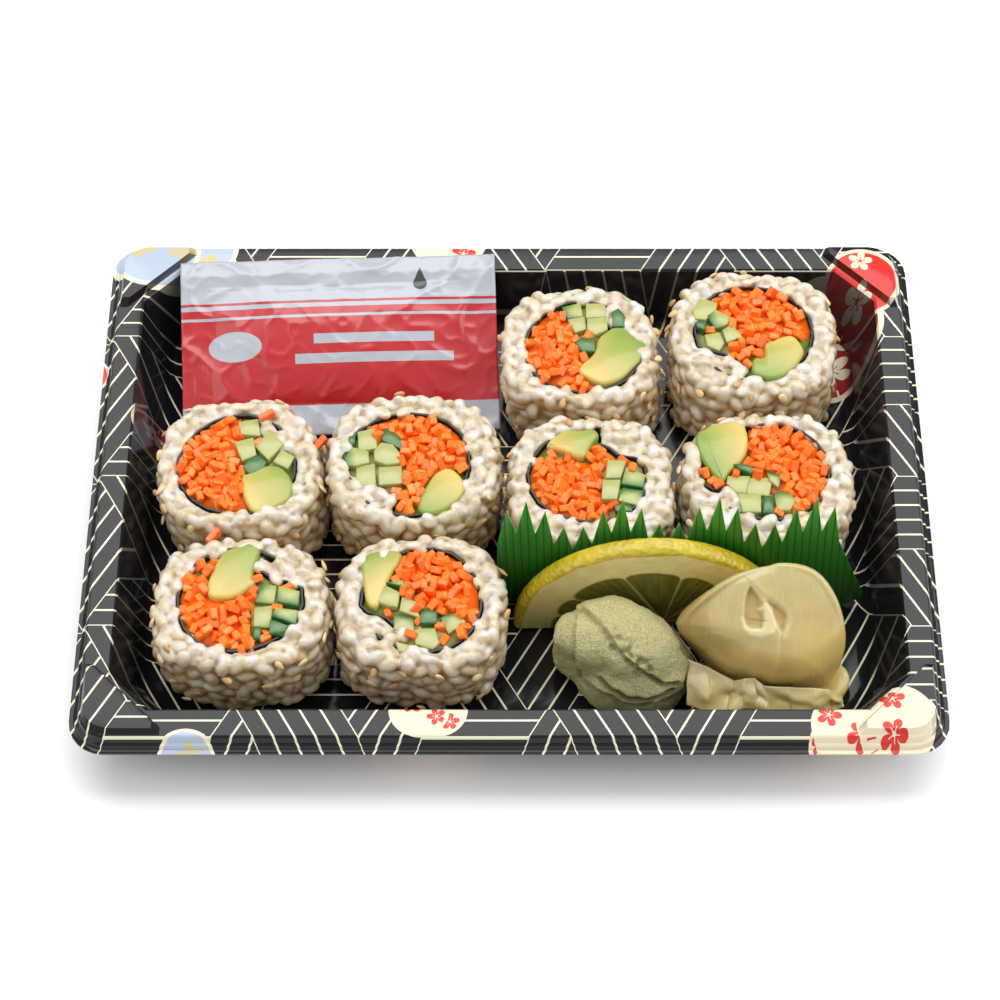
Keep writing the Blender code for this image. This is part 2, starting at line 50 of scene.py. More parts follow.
# The tray: thin black sheet formed over a mould, glossy, printed before forming with pale gold
# lines of a tumbling-block pattern and with roundels of blossom. It stands loose on its base.
TRAY_CREASE = math.radians(24)
TRAY_EDGE = 0.00035
LATTICE_SIDE = 0.0258
LATTICE_STRIPES = 5
LATTICE_WIDTH = 0.00052
LATTICE_SHIFT = (0.0098, 0.0677, 0.0)
TRAY_BLACK = (0.0075, 0.0075, 0.0095, 1)
GOLD = (0.76, 0.72, 0.52, 1)
CREAM = (0.74, 0.65, 0.47, 1)
RED = (0.60, 0.028, 0.022, 1)
MAROON = (0.30, 0.02, 0.025, 1)
SILVER = (0.40, 0.47, 0.58, 1)
PALE_GOLD = (0.56, 0.46, 0.22, 1)
# the colours of the field, the rim and the blossoms of each style
STYLES = (
    (SILVER, GOLD, PALE_GOLD),
    (CREAM, CREAM, RED),
    (RED, CREAM, CREAM),
    (MAROON, CREAM, CREAM),
)
# middle, radius and style; a later one lies over an earlier one
ROUNDELS = (
    (-0.0855, 0.0755, 0.0118, 0),
    (-0.0965, 0.0735, 0.0125, 0),
    (-0.0165, 0.0784, 0.0106, 1),
    (0.0855, 0.0520, 0.0150, 3),
    (0.0953, 0.0629, 0.0103, 2),
    (-0.1125, 0.0350, 0.0062, 2),
    (-0.0930, 0.0200, 0.0060, 3),
    (-0.0176, -0.0678, 0.0075, 1),
    (-0.0220, -0.0678, 0.0075, 1),
    (0.0791, -0.0767, 0.0062, 1),
    (0.0835, -0.0721, 0.0100, 1),
    (0.0943, -0.0717, 0.0098, 1),
    (-0.0787, -0.0806, 0.0075, 0),
)
ROUNDEL_TURN = 90.0
ROUNDEL_FIELD = 0.89
# middle, size and turn of the two blossoms, in the roundel's radius
BLOSSOMS = (((0.3, 0.12, 0), 0.36, 0.4), ((-0.45, -0.42, 0), 0.32, 2.6))
# where no roundel is near: a middle far off the tray
NOWHERE = (1.0, 1.0, 0.01)
# How far the print on the tray's steep inner walls and outer side skirts is blended toward black: painted
# shade, and partly print thinned where forming stretched the sheet
WALL_STEEP = (0.85, 0.45)
WALL_SHADE_AND_THIN_PRINT = 0.88
SIDE_SHADE_AND_THIN_PRINT = 0.5


class Term:
    """A node's output, which takes the plain signs of arithmetic."""

    def __init__(self, nodes, socket):
        self.nodes = nodes
        self.socket = socket

    def __add__(self, other):
        return self.nodes.math("ADD", self, other)

    def __sub__(self, other):
        return self.nodes.math("SUBTRACT", self, other)

    def __rsub__(self, other):
        return self.nodes.math("SUBTRACT", other, self)

    def __mul__(self, other):
        return self.nodes.math("MULTIPLY", self, other)

    def __truediv__(self, other):
        return self.nodes.math("DIVIDE", self, other)

    def __rtruediv__(self, other):
        return self.nodes.math("DIVIDE", other, self)

    def __pow__(self, other):
        return self.nodes.math("POWER", self, other)

    def __abs__(self):
        return self.nodes.math("ABSOLUTE", self)

    def __lt__(self, other):
        return self.nodes.math("LESS_THAN", self, other)

    def __gt__(self, other):
        return self.nodes.math("GREATER_THAN", self, other)


class Nodes:
    """Adds nodes to one tree. What feeds a node is a term, a number, a colour or a place."""

    def __init__(self, tree, sockets=None):
        self.tree = tree
        self.sockets = sockets

    def feed(self, socket, given):
        if isinstance(given, Term):
            self.tree.links.new(given.socket, socket)
        else:
            socket.default_value = given

    def add(self, kind, inputs=None, **settings):
        node = self.tree.nodes.new(kind)
        for name, setting in settings.items():
            setattr(node, name, setting)
        for name, given in (inputs or {}).items():
            self.feed(node.inputs[name], given)
        return node

    def out(self, kind, output, inputs=None, **settings):
        return Term(self, self.add(kind, inputs, **settings).outputs[output])

    def outs(self, kind, inputs=None, **settings):
        node = self.add(kind, inputs, **settings)
        return {socket.name: Term(self, socket) for socket in node.outputs}

    def math(self, operation, *given):
        return self.out("ShaderNodeMath", 0, dict(enumerate(given)), operation=operation)

    def vector(self, operation, *given):
        output = "Value" if operation in ("LENGTH", "DOT_PRODUCT") else "Vector"
        return self.out("ShaderNodeVectorMath", output, dict(enumerate(given)), operation=operation)

    def scaled(self, vector, factor):
        return self.out("ShaderNodeVectorMath", 0, {0: vector, "Scale": factor}, operation="SCALE")

    def turned(self, vector, angle):
        inputs = {"Vector": vector, "Angle": angle}
        return self.out("ShaderNodeVectorRotate", 0, inputs, rotation_type="Z_AXIS")

    def combined(self, x, y, z=0.0):
        return self.out("ShaderNodeCombineXYZ", 0, {"X": x, "Y": y, "Z": z})

    def split(self, vector):
        return self.outs("ShaderNodeSeparateXYZ", {"Vector": vector}).values()

    def share(self, value, low, high, most=1.0):
        inputs = {"Value": value, "From Min": low, "From Max": high, "To Max": most}
        return self.out("ShaderNodeMapRange", 0, inputs)

    def blend(self, factor, first, second, way="MIX"):
        inputs = {0: factor, 6: first, 7: second}
        return self.out("ShaderNodeMix", 2, inputs, data_type="RGBA", blend_type=way)

    def noise(self, vector, scale, detail=2.0, roughness=0.5):
        inputs = {"Vector": vector, "Scale": scale, "Detail": detail, "Roughness": roughness}
        return self.out("ShaderNodeTexNoise", "Fac", inputs)

    def cells(self, vector, scale):
        return self.out("ShaderNodeTexVoronoi", "Distance", {"Vector": vector, "Scale": scale})

    def ramp(self, value, *stops, steps="LINEAR"):
        node = self.add("ShaderNodeValToRGB", {"Fac": value})
        node.color_ramp.interpolation = steps
        while len(node.color_ramp.elements) < len(stops):
            node.color_ramp.elements.new(1)
        for element, (place, colour) in zip(node.color_ramp.elements, stops):
            element.position = place
            element.color = (*colour, 1)
        return Term(self, node.outputs["Color"])

    def place(self):
        return self.out("ShaderNodeTexCoord", "Object")

    def normal(self):
        return self.out("ShaderNodeTexCoord", "Normal")

    def named(self, attribute):
        return self.out("ShaderNodeAttribute", "Fac", attribute_name=attribute)

    def group(self, tree, **inputs):
        return self.outs("ShaderNodeGroup", inputs, node_tree=tree)

    def paint(self, colour, height=None, distance=0.0, strength=1.0):
        """Gives the finish its colour and, where there is a height, its relief."""
        self.feed(self.sockets["Base Color"], colour)
        if height is not None:
            inputs = {"Height": height, "Distance": distance, "Strength": strength}
            self.feed(self.sockets["Normal"], self.out("ShaderNodeBump", "Normal", inputs))


def finish(name, **values):
    """A material's Principled shader with these values, and the helper that adds to its tree."""
    made = bpy.data.materials.new(name)
    made.use_nodes = True
    shader = made.node_tree.nodes["Principled BSDF"]
    for label, term in values.items():
        shader.inputs[label.replace("_", " ")].default_value = term
    return made, Nodes(made.node_tree, shader.inputs)


def shader_group(name, inputs, outputs):
    """An empty group of shader nodes with named inputs and outputs."""
    tree = bpy.data.node_groups.new(name, "ShaderNodeTree")
    for label, start in inputs.items():
        kind = "NodeSocketVector" if isinstance(start, tuple) else "NodeSocketFloat"
        tree.interface.new_socket(label, in_out="INPUT", socket_type=kind).default_value = start
    for label in outputs:
        tree.interface.new_socket(label, in_out="OUTPUT", socket_type="NodeSocketFloat")
    nodes = Nodes(tree)
    return nodes, nodes.outs("NodeGroupInput"), nodes.add("NodeGroupOutput").inputs


def welded(node):
    """An editable copy of a CAD node whose triangles share their corners."""
    shape = bmesh.new()
    shape.from_mesh(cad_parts[node].data)
    bmesh.ops.remove_doubles(shape, verts=shape.verts, dist=1e-6)
    return shape


def joined(node):
    """An editable copy of a CAD node with its flat stretches made one face each."""
    shape = welded(node)
    bmesh.ops.dissolve_limit(shape, angle_limit=0.01, verts=shape.verts, edges=shape.edges)
    return shape


def piece(name, shape, material, smooth=True):
    """A shown object made from an editable shape."""
    mesh = bpy.data.meshes.new(name)
    shape.to_mesh(mesh)
    shape.free()
    mesh.polygons.foreach_set("use_smooth", [smooth] * len(mesh.polygons))
    mesh.materials.append(material)
    made = bpy.data.objects.new(name, mesh)
    scene.collection.objects.link(made)
    return made


def applied(made):
    """Turns an object's modifiers into a plain mesh."""
    ready = made.evaluated_get(bpy.context.evaluated_depsgraph_get())
    mesh = bpy.data.meshes.new_from_object(ready)
    made.modifiers.clear()
    made.data = mesh
    return made


def bevelled(made, width, segments, angle):
    """The object with its sharp edges rounded."""
    rounding = made.modifiers.new("rounding", "BEVEL")
    rounding.width = width
    rounding.segments = segments
    rounding.angle_limit = angle
    rounding.harden_normals = True
    return applied(made)


def store(made, name, values):
    """Keeps a value for every point of an object's mesh, for its finish to read."""
    made.data.attributes.new(name, "FLOAT", "POINT").data.foreach_set("value", values)


def show(made, node):
    """Stands for a CAD node, which it hides, and rides with the tray."""
    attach(made, "root")
    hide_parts(node)


def make_lattice():
    """Lines of a tumbling-block pattern: every lozenge is filled with stripes along one side."""
    inputs = {"Position": (0, 0, 0), "Side": LATTICE_SIDE, "Width": LATTICE_WIDTH}
    nodes, given, result = shader_group("tumbling_blocks", inputs, ["Lines"])
    x, y, _ = nodes.split(given["Position"])
    height = given["Side"] * math.sin(math.radians(60))
    across = y / height
    half = across * 0.5
    along = x / given["Side"] - half
    both = along + across
    parts = nodes.math("FRACT", along) + nodes.math("FRACT", across)
    upper = parts > 1
    column = nodes.math("FLOOR", along)
    kind = column - nodes.math("FLOOR", across)
    kind = nodes.math("FLOORED_MODULO", kind, 3)
    kind = kind * (upper + 1)
    kind = nodes.math("FLOORED_MODULO", kind, 3)
    level = kind < 0.5
    falling = kind > 1.5
    rising = 1 - level - falling
    chosen = level * across
    chosen = rising * along + chosen
    chosen = falling * both + chosen
    stripe = nodes.math("PINGPONG", chosen * LATTICE_STRIPES, 0.5)
    away = stripe * height / LATTICE_STRIPES
    edge = given["Width"] * 0.5
    nodes.feed(result["Lines"], away < edge)
    return nodes.tree


def make_blossom():
    """A flat five-petalled blossom with an eye, stamens and three loose strokes beside it."""
    inputs = {"Position": (0, 0, 0), "Centre": (0, 0, 0), "Size": 0.4, "Turn": 0.0}
    nodes, given, result = shader_group("blossom", inputs, ["Petals", "Strokes"])
    offset = nodes.vector("SUBTRACT", given["Position"], given["Centre"])
    x, y, _ = nodes.split(offset)
    reach = nodes.vector("LENGTH", nodes.combined(x, y))
    reach = reach / given["Size"]
    angle = nodes.math("ARCTAN2", y, x) + given["Turn"]
    lobe = abs(nodes.math("COSINE", angle * 2.5))
    edge = lobe ** 0.55 * 0.78 + 0.22
    petal = reach < edge
    eye = reach > 0.13
    spoke = nodes.math("PINGPONG", angle * (5 / math.tau), 0.5)
    spoke = spoke * reach
    stamen = spoke > 0.025
    outside = reach > 0.42
    clear = nodes.math("MAXIMUM", stamen, outside)
    nodes.feed(result["Petals"], petal * eye * clear)
    band = nodes.math("COMPARE", reach, 1.55, 0.32)
    side = nodes.math("COMPARE", nodes.math("SINE", angle), 0.0, 0.55)
    front = nodes.math("COSINE", angle) > 0
    line = nodes.math("PINGPONG", angle * 2.4, 0.5)
    line = line * reach < 0.11
    stroke = band * side * front
    nodes.feed(result["Strokes"], stroke * line)
    return nodes.tree


def make_roundel(blossom):
    """A disc with a rim line and two blossoms on its field."""
    inputs = {"Position": (0, 0, 0), "Centre": (0, 0, 0), "Radius": 0.01, "Turn": 0.0}
    nodes, given, result = shader_group("roundel", inputs, ["Disc", "Field", "Flowers"])
    offset = nodes.vector("SUBTRACT", given["Position"], given["Centre"])
    x, y, _ = nodes.split(offset)
    scaled = nodes.scaled(nodes.combined(x, y), 1 / given["Radius"])
    turned = nodes.turned(scaled, given["Turn"])
    reach = nodes.vector("LENGTH", turned)
    nodes.feed(result["Disc"], reach < 1)
    inner = reach < ROUNDEL_FIELD
    nodes.feed(result["Field"], inner)
    flowers = 0.0
    for centre, size, turn in BLOSSOMS:
        flower = nodes.group(blossom, Position=turned, Centre=centre, Size=size, Turn=turn)
        marks = nodes.math("MAXIMUM", flower["Petals"], flower["Strokes"])
        flowers = nodes.math("MAXIMUM", flowers, marks)
    nodes.feed(result["Flowers"], flowers * inner)
    return nodes.tree


tray_finish, nodes = finish("tray", Roughness=0.13, Specular_IOR_Level=0.3)
place = nodes.place()
spot = nodes.vector("SUBTRACT", place, LATTICE_SHIFT)
lattice = nodes.group(make_lattice(), Position=spot, Side=LATTICE_SIDE, Width=LATTICE_WIDTH)
colour = nodes.blend(lattice["Lines"], TRAY_BLACK, GOLD)
x, y, _ = nodes.split(place)
flat = nodes.combined(x, y)
middle = NOWHERE
style = 0.0
for x, y, radius, number in ROUNDELS:
    away = nodes.vector("LENGTH", nodes.vector("SUBTRACT", flat, (x, y, 0)))
    here = away < radius
    inputs = {0: here, 4: middle, 5: (x, y, radius)}
    middle = nodes.out("ShaderNodeMix", 1, inputs, data_type="VECTOR")
    style = here * number + (1 - here) * style
x, _, radius = nodes.split(middle)
turn = x * ROUNDEL_TURN
disc = nodes.group(
    make_roundel(make_blossom()), Position=place, Centre=middle, Radius=radius, Turn=turn
)
style = (style + 0.5) / len(STYLES)
for output, part in (("Disc", 1), ("Field", 0), ("Flowers", 2)):
    stops = [(number / len(STYLES), shades[part][:3]) for number, shades in enumerate(STYLES)]
    colour = nodes.blend(disc[output], colour, nodes.ramp(style, *stops, steps="CONSTANT"))
# Print on steep inner walls and on the outer side skirts fades toward black: painted shade, and partly
# print thinned where forming stretched the sheet
normal = nodes.normal()
aside, ahead, level = nodes.split(normal)
steep = nodes.share(level, *WALL_STEEP)
inner = nodes.vector("DOT_PRODUCT", normal, flat) < 0
sideways = abs(aside) > abs(ahead)
shade_and_thin_print = (1 - inner) * sideways * SIDE_SHADE_AND_THIN_PRINT
shade_and_thin_print = (inner * WALL_SHADE_AND_THIN_PRINT + shade_and_thin_print) * steep
nodes.paint(nodes.blend(shade_and_thin_print, colour, TRAY_BLACK), nodes.noise(place, 60), 0.0003, 0.25)
tray = piece("tray_sheet", joined("tray"), tray_finish)
show(bevelled(tray, TRAY_EDGE, 2, TRAY_CREASE), "tray")


# The rolls: eight uramaki, cooked short-grain rice pressed round a nori sheet that closes in a
# small inward flap. The cut faces show the fillings; grains and sesame stick to one another.
ROLLS = range(1, 9)
GRAIN = (0.00310, 0.00190, 0.00150)
CUT_GRAIN = (0.00285, 0.00190, 0.00150)
GRAIN_SPACING = 0.0032
GRAIN_DENSITY = 900000.0
CUT_SPACING = 0.0031
SEED = (0.00165, 0.00100, 0.00050)
SEED_SPACING = 0.0034
SEED_DENSITY = 13000.0
GRAIN_TILT = 0.25
SMALLEST = 0.85
SIDE_FACING = 0.25
CUT_FACING = 0.7
CORE_INSET = 0.0010
CORE_DROP = 0.0006
GRAIN_BASE = 0.0030
FUSE_CELL = 0.00050
CUT_LEVEL = 0.0003
CUT_KEEP = 0.25
CREASE_DEPTH = 0.00014


def scatter_tree():
    """Places a small piece all over a surface, turned at random about the surface's normal."""
    tree = bpy.data.node_groups.new("scatter", "GeometryNodeTree")
    sockets = {"Surface": "Geometry", "Piece": "Object", "Seed": "Int", "Finish": "Material"}
    for label in ("Spacing", "Density", "Tilt", "Low", "High", "Smallest"):
        sockets[label] = "Float"
    for label, kind in sockets.items():
        tree.interface.new_socket(label, in_out="INPUT", socket_type="NodeSocket" + kind)
    tree.interface.new_socket("Pieces", in_out="OUTPUT", socket_type="NodeSocketGeometry")
    nodes = Nodes(tree)
    given = nodes.outs("NodeGroupInput")

    def chance(kind, low, high, offset):
        first, output = (0, 0) if kind == "FLOAT_VECTOR" else (2, 1)
        inputs = {first: low, first + 1: high, 8: given["Seed"] + offset}
        return nodes.out("FunctionNodeRandomValue", output, inputs, data_type=kind)

    inputs = {
        "Mesh": given["Surface"],
        "Distance Min": given["Spacing"],
        "Density Max": given["Density"],
        "Seed": given["Seed"],
    }
    spread = nodes.outs("GeometryNodeDistributePointsOnFaces", inputs, distribute_method="POISSON")
    lift = nodes.scaled(spread["Normal"], chance("FLOAT", given["Low"], given["High"], 1))
    moved = nodes.out("GeometryNodeSetPosition", 0, {"Geometry": spread["Points"], "Offset": lift})
    back = given["Tilt"] * -1
    low = nodes.combined(back, back)
    high = nodes.combined(given["Tilt"], given["Tilt"], math.tau)
    own = nodes.out("FunctionNodeEulerToRotation", 0, {"Euler": chance("FLOAT_VECTOR", low, high, 2)})
    inputs = {"Rotation": spread["Rotation"], "Rotate By": own}
    turned = nodes.out("FunctionNodeRotateRotation", 0, inputs, rotation_space="LOCAL")
    model = nodes.out("GeometryNodeObjectInfo", "Geometry", {"Object": given["Piece"]})
    size = chance("FLOAT", given["Smallest"], 1.0, 3)
    inputs = {"Points": moved, "Instance": model, "Rotation": turned, "Scale": size}
    placed = nodes.out("GeometryNodeInstanceOnPoints", 0, inputs)
    inputs = {"Geometry": placed, "Name": "shade", "Value": chance("FLOAT", 0.0, 1.0, 4)}
    settings = {"data_type": "FLOAT", "domain": "INSTANCE"}
    shaded = nodes.out("GeometryNodeStoreNamedAttribute", 0, inputs, **settings)
    real = nodes.out("GeometryNodeRealizeInstances", 0, {"Geometry": shaded})
    ended = nodes.out("GeometryNodeSetMaterial", 0, {"Geometry": real, "Material": given["Finish"]})
    nodes.add("NodeGroupOutput", {0: ended})
    return tree


scatter = scatter_tree()


def strew(name, surface, model, material, **values):
    """A plain mesh of many copies of a small model over an editable surface."""
    made = piece(name, surface, material)
    grow = made.modifiers.new("scatter", "NODES")
    grow.node_group = scatter
    values.update(Piece=model, Finish=material, Smallest=SMALLEST)
    for socket in scatter.interface.items_tree:
        if socket.in_out == "INPUT" and socket.name in values:
            grow[socket.identifier] = values[socket.name]
    return applied(made)


def small_ball(name, half, taper=0.0):
    """A pip with these half sizes, thinner towards one end."""
    shape = bmesh.new()
    bmesh.ops.create_icosphere(shape, subdivisions=2, radius=1.0)
    for point in shape.verts:
        thin = 1 - taper * point.co.x
        x, y, z = point.co
        point.co = Vector((x * half[0], y * thin * half[1], z * thin * half[2]))
    return piece(name, shape, rice_finish)


def join(pieces):
    """Makes one object of several and keeps the first one's name."""
    with bpy.context.temp_override(active_object=pieces[0], selected_editable_objects=pieces):
        bpy.ops.object.join()
    return pieces[0]


def read(items, label, width, kind=float):
    """One row of numbers for each of a mesh's points or edges."""
    rows = numpy.empty(len(items) * width, dtype=kind)
    items.foreach_get(label, rows)
    return rows.reshape(-1, width)


def mark_ridges(made):
    """Stores how far each point stands out among its neighbours, 0 in a crease and 1 on a ridge."""
    mesh = made.data
    spots = read(mesh.vertices, "co", 3)
    normals = read(mesh.vertex_normals, "vector", 3)
    ends = read(mesh.edges, "vertices", 2, int)
    first, second = ends.T
    shared = numpy.bincount(ends.ravel(), minlength=len(spots))[:, None]
    mean = spots
    for _ in range(3):
        total = numpy.zeros_like(spots)
        numpy.add.at(total, first, mean[second])
        numpy.add.at(total, second, mean[first])
        mean = total / shared
    standing = ((spots - mean) * normals).sum(axis=1)
    share = numpy.clip(0.5 + 0.5 * standing / CREASE_DEPTH, 0, 1)
    store(made, "ridge", share)


def faces_where(shape, test):
    """A copy of the shape's faces that pass a test on their middle and normal."""
    part = shape.copy()
    part.normal_update()
    rest = [face for face in part.faces if not test(face.calc_center_median(), face.normal)]
    bmesh.ops.delete(part, geom=rest, context="FACES")
    return part


rice_finish, nodes = finish(
    "rice", Roughness=0.33, Subsurface_Weight=0.6, Subsurface_Radius=(1.0, 0.75, 0.45),
    Subsurface_Scale=0.0018, Coat_Weight=0.5, Coat_Roughness=0.12,
)
place = nodes.place()
tint = nodes.ramp(
    nodes.noise(place, 330, 2),
    (0.32, (0.52, 0.42, 0.26)),
    (0.48, (0.59, 0.52, 0.39)),
    (0.66, (0.62, 0.60, 0.58)),
)
# Creases between the grains are made darker and warmer: painted shade
crease = nodes.ramp(nodes.named("ridge"), (0.0, (0.62, 0.46, 0.26)), (0.55, (1, 1, 1)))
# Faces that turn sideways are made tan and darker: partly the sesame-dusted colour of the sides, partly
# painted shade
_, _, level = nodes.split(nodes.normal())
side = nodes.ramp(level, (0.1, (0.94, 0.78, 0.57)), (0.8, (1, 1, 1)))
tint = nodes.blend(1.0, tint, crease, "MULTIPLY")
tint = nodes.blend(1.0, tint, side, "MULTIPLY")
nodes.paint(tint, nodes.noise(place, 900, 3), 0.0002, 0.4)

seed_finish, nodes = finish("sesame", Roughness=0.42, Subsurface_Weight=0.15, Subsurface_Scale=0.0006)
nodes.paint(nodes.ramp(
    nodes.named("shade"),
    (0.0, (0.50, 0.27, 0.09)),
    (0.4, (0.68, 0.45, 0.20)),
    (1.0, (0.80, 0.62, 0.34)),
))

nori_finish, nodes = finish("nori", Roughness=0.45)
fibres = nodes.noise(nodes.place(), 700, 3)
nodes.paint(nodes.ramp(fibres, (0.35, (0.004, 0.006, 0.005)), (0.75, (0.018, 0.026, 0.014))))

grain = small_ball("grain", GRAIN, 0.08)
cut_grain = small_ball("cut_grain", CUT_GRAIN)
seed = small_ball("seed", SEED, 0.32)


def make_rice(number):
    """A pressed core a little inside the roll's outline, with whole grains fused to it."""
    node = f"roll_{number}_rice"
    low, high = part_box(node)
    middle = (low + high) / 2
    core = joined(node)
    core.normal_update()
    moves = []
    for point in core.verts:
        outward = Vector((point.co.x - middle.x, point.co.y - middle.y, 0)).normalized()
        facing = point.normal.dot(outward)
        shift = -CORE_INSET * max(facing, 0.0) * outward
        if point.normal.z > 0.3:
            shift.z = -CORE_DROP
        moves.append(shift)
    for point, shift in zip(core.verts, moves):
        point.co += shift

    def side(spot, normal):
        outward = Vector((spot.x - middle.x, spot.y - middle.y, 0)).normalized()
        return normal.dot(outward) > SIDE_FACING and spot.z > GRAIN_BASE

    def cut(spot, normal):
        return normal.z > CUT_FACING

    sides = strew(
        f"rice_{number}_sides", faces_where(core, side), grain, rice_finish,
        Spacing=GRAIN_SPACING, Density=GRAIN_DENSITY, Tilt=GRAIN_TILT,
        Low=-0.0003, High=0.0005, Seed=number,
    )
    tops = strew(
        f"rice_{number}_top", faces_where(core, cut), cut_grain, rice_finish,
        Spacing=CUT_SPACING, Density=GRAIN_DENSITY, Tilt=GRAIN_TILT,
        Low=-0.0008, High=0.0000, Seed=20 + number,
    )
    seeds = strew(
        f"sesame_{number}", faces_where(core, side), seed, seed_finish,
        Spacing=SEED_SPACING, Density=SEED_DENSITY, Tilt=0.5,
        Low=0.0013, High=0.0019, Seed=40 + number,
    )
    body = join([piece(f"rice_{number}", core, rice_finish), sides, tops])
    level = high.z + CUT_LEVEL
    for point in body.data.vertices:
        if point.co.z > level:
            point.co.z = level + CUT_KEEP * (point.co.z - level)
        point.co.z = max(point.co.z, low.z)
    fuse = body.modifiers.new("fuse", "REMESH")
    fuse.mode = "VOXEL"
    fuse.voxel_size = FUSE_CELL
    fuse.use_smooth_shade = True
    soften = body.modifiers.new("soften", "SMOOTH")
    soften.iterations = 2
    mark_ridges(applied(body))
    show(body, node)
    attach(seeds, "root")


for number in ROLLS:
    make_rice(number)
    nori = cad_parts[f"roll_{number}_nori"]
    nori.data.materials.clear()
    nori.data.materials.append(nori_finish)
for model in (grain, cut_grain, seed):
    bpy.data.objects.remove(model)


# The fillings: raw carrot in matchsticks, cucumber sticks with some green skin and a slice of ripe
# avocado. They stand on end in the roll and their cut ends are uneven, held only by the wrap.
MM = 0.001
CARROT = (0.00155, 0.00100, 0.0027)
CARROT_SPACING = 0.00172
CARROT_TILT = 0.7
CARROT_DENSITY = 900000.0
CARROT_CELL = 0.0006
CARROT_MARGIN = 0.0010
CARROT_GAP = 0.0006
WAYS = ((1, 0), (-1, 0), (0, 1), (0, -1))
DIAGONALS = ((-1, -1), (1, -1), (1, 1), (-1, 1))
FILLING_DROP = 0.0018
STICK_LENGTH = 0.012
STICK_EDGE = 0.00035
STICK_HEIGHTS = (-0.0006, 0.0006)
STICK_HUB = 0.0001
# tone of a cucumber stick's middle and edge for each amount of skin
SKIN_TONES = ((0.0, 0.12), (0.05, 0.15), (0.75, 0.95))
SKIN_SIDE = 0.95
AVOCADO_EDGE = 0.0009
AVOCADO_RISE = 0.0002
# Avocado slices: outline, then the spots where the flesh is greenest and yellowest, in mm
AVOCADOS = {
    1: (
        ((-68.7, -2.2), (-66.4, -2.0), (-62.0, 1.0), (-57.4, -0.2), (-54.7, -5.7),
         (-55.6, -9.6), (-58.8, -12.3), (-63.5, -14.2), (-65.8, -13.1), (-68.0, -8.4)),
        (-55.2, -3.7), (-66.3, -10.4),
    ),
    2: (
        ((-19.0, -1.5), (-14.8, 0.3), (-10.8, -5.0), (-12.1, -9.3), (-16.6, -13.5),
         (-20.8, -15.0), (-23.4, -13.1), (-23.1, -10.0), (-21.2, -6.1)),
        (-22.4, -13.9), (-15.7, -2.6),
    ),
    3: (
        ((-72.1, -25.6), (-67.9, -23.6), (-63.9, -22.8), (-62.1, -24.0), (-63.4, -28.8),
         (-64.4, -32.7), (-62.9, -34.7), (-65.8, -37.4), (-68.4, -39.3), (-75.7, -39.3),
         (-74.8, -31.9)),
        (-63.5, -23.2), (-71.8, -38.2),
    ),
    4: (
        ((-37.1, -28.4), (-35.0, -25.8), (-30.0, -25.0), (-26.6, -25.8), (-27.6, -29.0),
         (-29.6, -32.4), (-30.8, -36.0), (-31.6, -40.0), (-33.4, -42.4), (-35.6, -40.4),
         (-36.2, -36.0), (-37.0, -32.0)),
        (-36.4, -27.0), (-32.1, -35.3),
    ),
    5: (
        ((25.7, 43.1), (27.7, 44.7), (30.6, 44.3), (32.1, 42.3), (35.9, 39.6), (36.5, 37.2),
         (34.8, 34.0), (32.5, 31.3), (29.2, 27.4), (25.1, 25.8), (22.3, 26.6), (17.9, 29.7),
         (18.5, 32.1), (22.7, 36.0), (23.1, 40.7)),
        (33.4, 41.1), (20.4, 29.3),
    ),
    6: (
        ((66.9, 41.3), (68.6, 39.5), (72.7, 41.8), (75.6, 41.8), (77.9, 37.3), (77.4, 35.1),
         (74.2, 30.2), (69.0, 27.1), (64.1, 28.9), (63.5, 31.5), (64.4, 35.1), (67.2, 34.2),
         (67.4, 36.9)),
        (66.2, 28.4), (74.8, 40.4),
    ),
    7: (
        ((9.5, 7.1), (11.9, 9.9), (14.6, 11.8), (18.4, 11.2), (21.4, 12.4), (23.7, 9.9),
         (21.3, 7.5), (19.6, 2.6), (16.6, 3.0), (13.9, 5.0), (9.9, 5.9)),
        (22.8, 11.2), (11.9, 5.5),
    ),
    8: (
        ((47.7, 9.4), (50.3, 12.4), (55.9, 14.1), (60.7, 13.9), (61.6, 10.3), (61.8, 6.5),
         (59.8, 1.5), (56.3, -1.4), (54.7, -5.0), (52.4, -2.6), (50.2, 0.7), (48.6, 4.4)),
        (49.3, 6.1), (59.9, 10.3),
    ),
}
